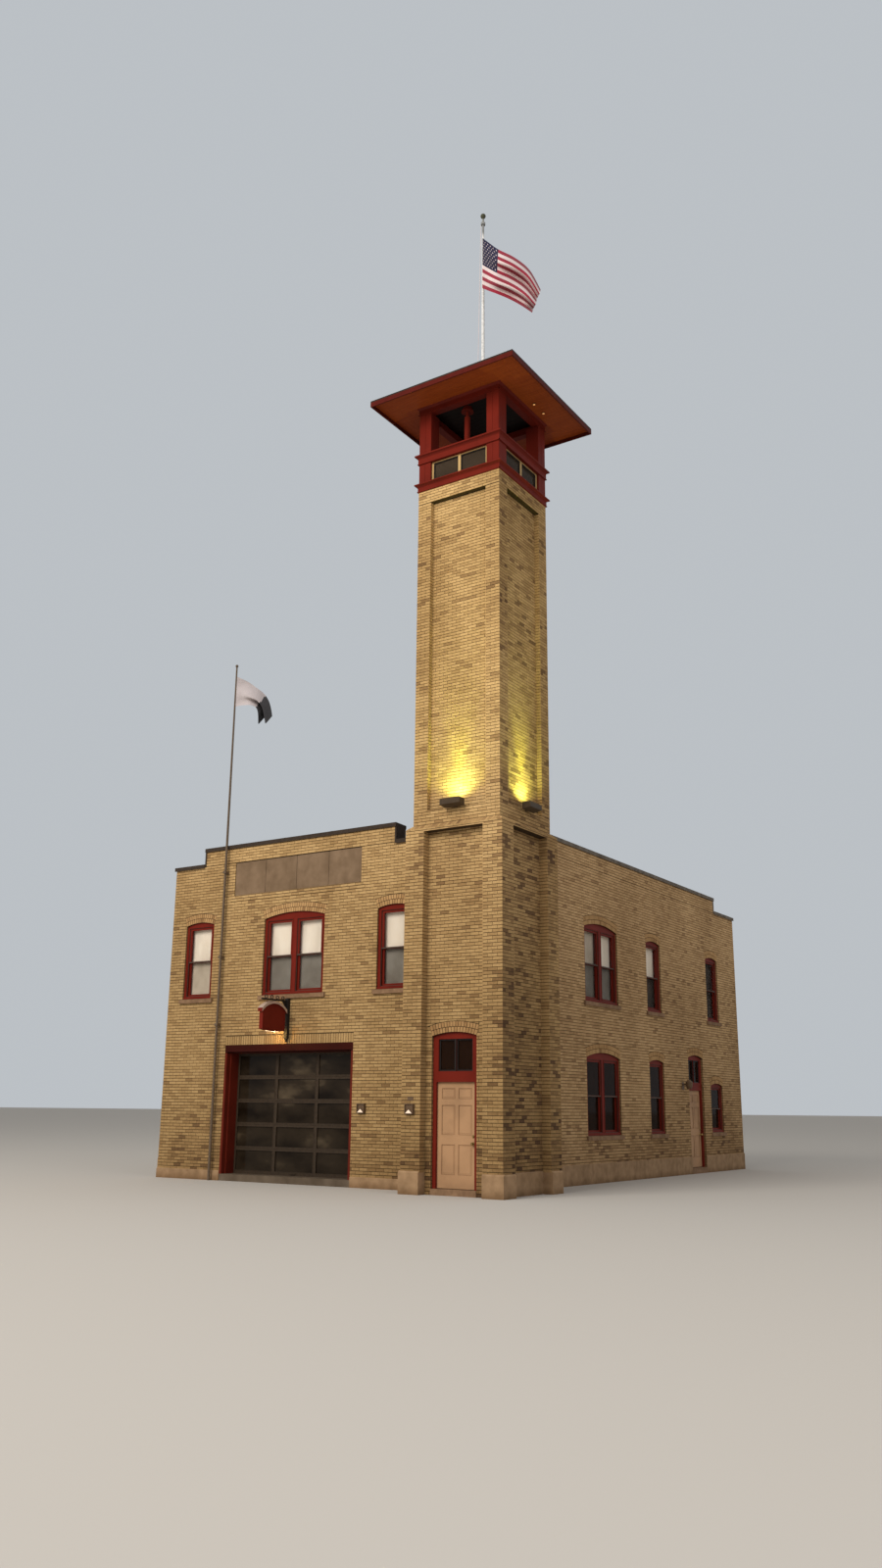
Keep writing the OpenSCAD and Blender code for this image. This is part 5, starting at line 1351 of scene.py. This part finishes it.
def stars(at, flat):
    """Fifty five-pointed stars on both faces of the canton."""
    verts, faces, rim, near = [], [], 10, 0.005
    for row in range(9):
        for col in range(6 - row % 2):
            s0, t0 = (col + 0.5 + 0.5 * (row % 2)) * CANTON[0] / 6, (row + 1) * CANTON[1] / 10
            along, down = at(s0 + near, t0) - at(s0 - near, t0), at(s0, t0 + near) - at(s0, t0 - near)
            normal = along.cross(down).normalized()
            for side in (-1, 1):
                start = len(verts)
                verts.append(at(s0, t0) + normal * 0.002 * side)
                for k in range(rim):
                    r, a = (0.031, 0.0125)[k % 2], math.pi * k / 5
                    point = at(s0 + r * math.sin(a) / flat[0], t0 - r * math.cos(a) / flat[1])
                    verts.append(point + normal * 0.002 * side)
                    face = [start, start + 1 + k, start + 1 + (k + 1) % rim]
                    faces.append(face if side < 0 else face[::-1])
    return mesh_piece("flag_stars", verts, faces, ["white_cloth"], smooth=False)


def flags():
    big = {
        "origin": Vector((TOWER.x, TOWER.y - 0.031, FLAG_TOP)), "flat": (2.44, 1.52), "grid": (60, 52),
        "folds": 2.1, "phase": 0.6,
        "top": [(0.003, 0, -0.018), (0.282, -0.154, -0.381), (0.593, -0.236, -0.757), (0.958, -0.068, -1.036),
                (1.243, 0.139, -1.362), (1.419, 0.352, -1.845)],
        "low": [(0.003, -0.006, -1.453), (0.285, -0.205, -1.766), (0.586, -0.344, -2.057),
                (0.944, -0.313, -2.341), (1.229, -0.211, -2.577), (1.373, 0, -2.677)],
    }
    cloth_piece, at = flag_piece("flag_cloth", big, stripes, "flag")
    star_piece = stars(at, big["flat"])
    small = {
        "origin": Vector((-2.80 + 0.023, FRONT - 0.10, 12.22)), "flat": (1.37, 0.80), "grid": (44, 28),
        "folds": 1.3, "phase": 0.2,
        "top": [(0.002, 0, -0.020), (0.167, 0.138, -0.130), (0.331, 0.278, -0.271), (0.478, 0.385, -0.442),
                (0.638, 0.459, -0.746), (0.741, 0.533, -1.097)],
        "low": [(0.002, 0, -0.820), (0.170, 0.069, -0.800), (0.343, 0.139, -0.800), (0.465, 0.245, -0.860),
                (0.502, 0.352, -0.980), (0.456, 0.459, -1.130)],
    }
    pale, _ = flag_piece("small_flag_cloth", small, plain_with_dark_end, "small_flag")


# Stage, light and camera

def stage():
    mesh = bpy.data.meshes.new("floor")
    mesh.from_pydata([(u, v, 0) for u, v in corners((-500, 500, -500, 500))], [], [(0, 1, 2, 3)])
    mat, _ = material("pale_floor")
    mesh.materials.append(shaded(mat, Base_Color=(0.50, 0.47, 0.43), Roughness=0.9, Specular_IOR_Level=0.2))
    linked("floor", mesh)


def sky():
    """Even pale light from all round, and a plain grey seen behind the building."""
    world = bpy.data.worlds.new("studio")
    bpy.context.scene.world = world
    world.use_nodes = True
    tree = world.node_tree
    tree.nodes.clear()
    rays = node(tree, "LightPath").outputs
    straight = rays["Is Camera Ray"]
    for kind in ("Is Glossy Ray", "Is Transmission Ray"):
        straight = calculate(tree, "MAXIMUM", straight, rays[kind])
    light = node(tree, "Background", Color=(0.99, 0.98, 0.965), Strength=0.5)
    seen = node(tree, "Background", Color=(0.50, 0.53, 0.56), Strength=1.0)
    mix = node(tree, "MixShader", Fac=straight)
    feed(tree, mix.inputs[1], light.outputs[0])
    feed(tree, mix.inputs[2], seen.outputs[0])
    node(tree, "OutputWorld", Surface=mix.outputs[0])


def light(name, kind, at, target, **values):
    """A light at a place, aimed at a target, with its settings by name."""
    data = bpy.data.lights.new(name, kind)
    for key, value in values.items():
        setattr(data, key, value)
    obj = linked(name, data)
    aim = (Vector(target) - Vector(at)).to_track_quat("-Z", "Y").to_matrix().to_4x4()
    obj.matrix_world = Matrix.Translation(at) @ aim
    return obj


def studio_lights():
    """A large key light from the front left and a weak cool one from the right, left out of reflections."""
    for name, at, target, size, power, colour in (
        ("key", (-2, -52, 34), (2, -6, 7), 34, 23500, (1.0, 0.955, 0.89)),
        ("fill", (44, -22, 22), (4, -3, 8), 26, 2500, (0.92, 0.96, 1.06)),
    ):
        panel = light(name, "AREA", at, target, shape="DISK", size=size, energy=power, color=colour)
        panel.visible_glossy = False


def flood_beams():
    """The yellow wash of the two floodlights: a wide one low on the wall, and a narrow plume above it."""
    height = FLOOD_TOP + 0.02
    for turn, gain in ((0, 1.0), (1, 1.1)):
        plane = tower_plane(turn, SHAFT_HALF)
        for label, power, angle, reach, blue in (("near", 150, 142, 3.0, 0.30), ("far", 300, 34, 2.6, 0.12)):
            light(f"flood_{label}_{turn}", "SPOT", plane.at(0, height, 0.16),
                  plane.at(0, height + reach, -SHAFT_RECESS), energy=power * gain, color=(0.77, 1.0, blue),
                  spot_size=math.radians(angle), spot_blend=1.0, shadow_soft_size=0.05)


def sign_glow():
    """The warm light that the sign's lamp strip throws on the wall."""
    at = Vector((SIGN.x - 0.16, FRONT - 0.30, SIGN.z - 0.05))
    light("sign_glow", "POINT", at, at - Vector((0, 0, 1)), energy=6.5, color=(1.0, 0.60, 0.17),
          shadow_soft_size=0.04)


def camera():
    """The photographer's place and aim: turned left, tilted up, and rolled a little."""
    data = bpy.data.cameras.new("camera")
    data.lens = 27.975
    data.sensor_width = 36
    data.clip_end = 500
    place_at, turn, tilt, roll = Matrix.Translation((17.686, -29.042, 1.659)), 33.39, 14.873, 0.58
    obj = linked("camera", data)
    aim = Matrix.Rotation(math.radians(turn), 4, "Z") @ Matrix.Rotation(math.radians(90 + tilt), 4, "X")
    obj.matrix_world = place_at @ (aim @ Matrix.Rotation(math.radians(roll), 4, "Z"))
    bpy.context.scene.camera = obj


dress_nodes()
front_bricks()
side_bricks()
plain_bricks("left", -REAR, -FRONT, 21)
plain_bricks("rear", -RIGHT - BRICK_OUT, -LEFT + BRICK_OUT, 25)
tower_base_bricks()
arches()
shaft_bricks()
ledge_bricks()
blinds()
casing_beads()
storm_sashes()
transom_sashes()
door_mouldings()
garage_hardware()
door_furniture()
post_boards()
band_sashes()
cornice_beads()
soffit_boards()
ceiling_boards_in_painted_shade()
roof_shingles()
hip_caps()
coping_joints()
roof_seams()
flood_lenses()
lamp_lenses()
lantern_shade()
soffit_bulbs()
sign_hood()
sign_faces()
halyards()
flags()
stage()
sky()
flood_beams()
sign_glow()
studio_lights()
camera()
bpy.context.scene.view_settings.view_transform = "Standard"
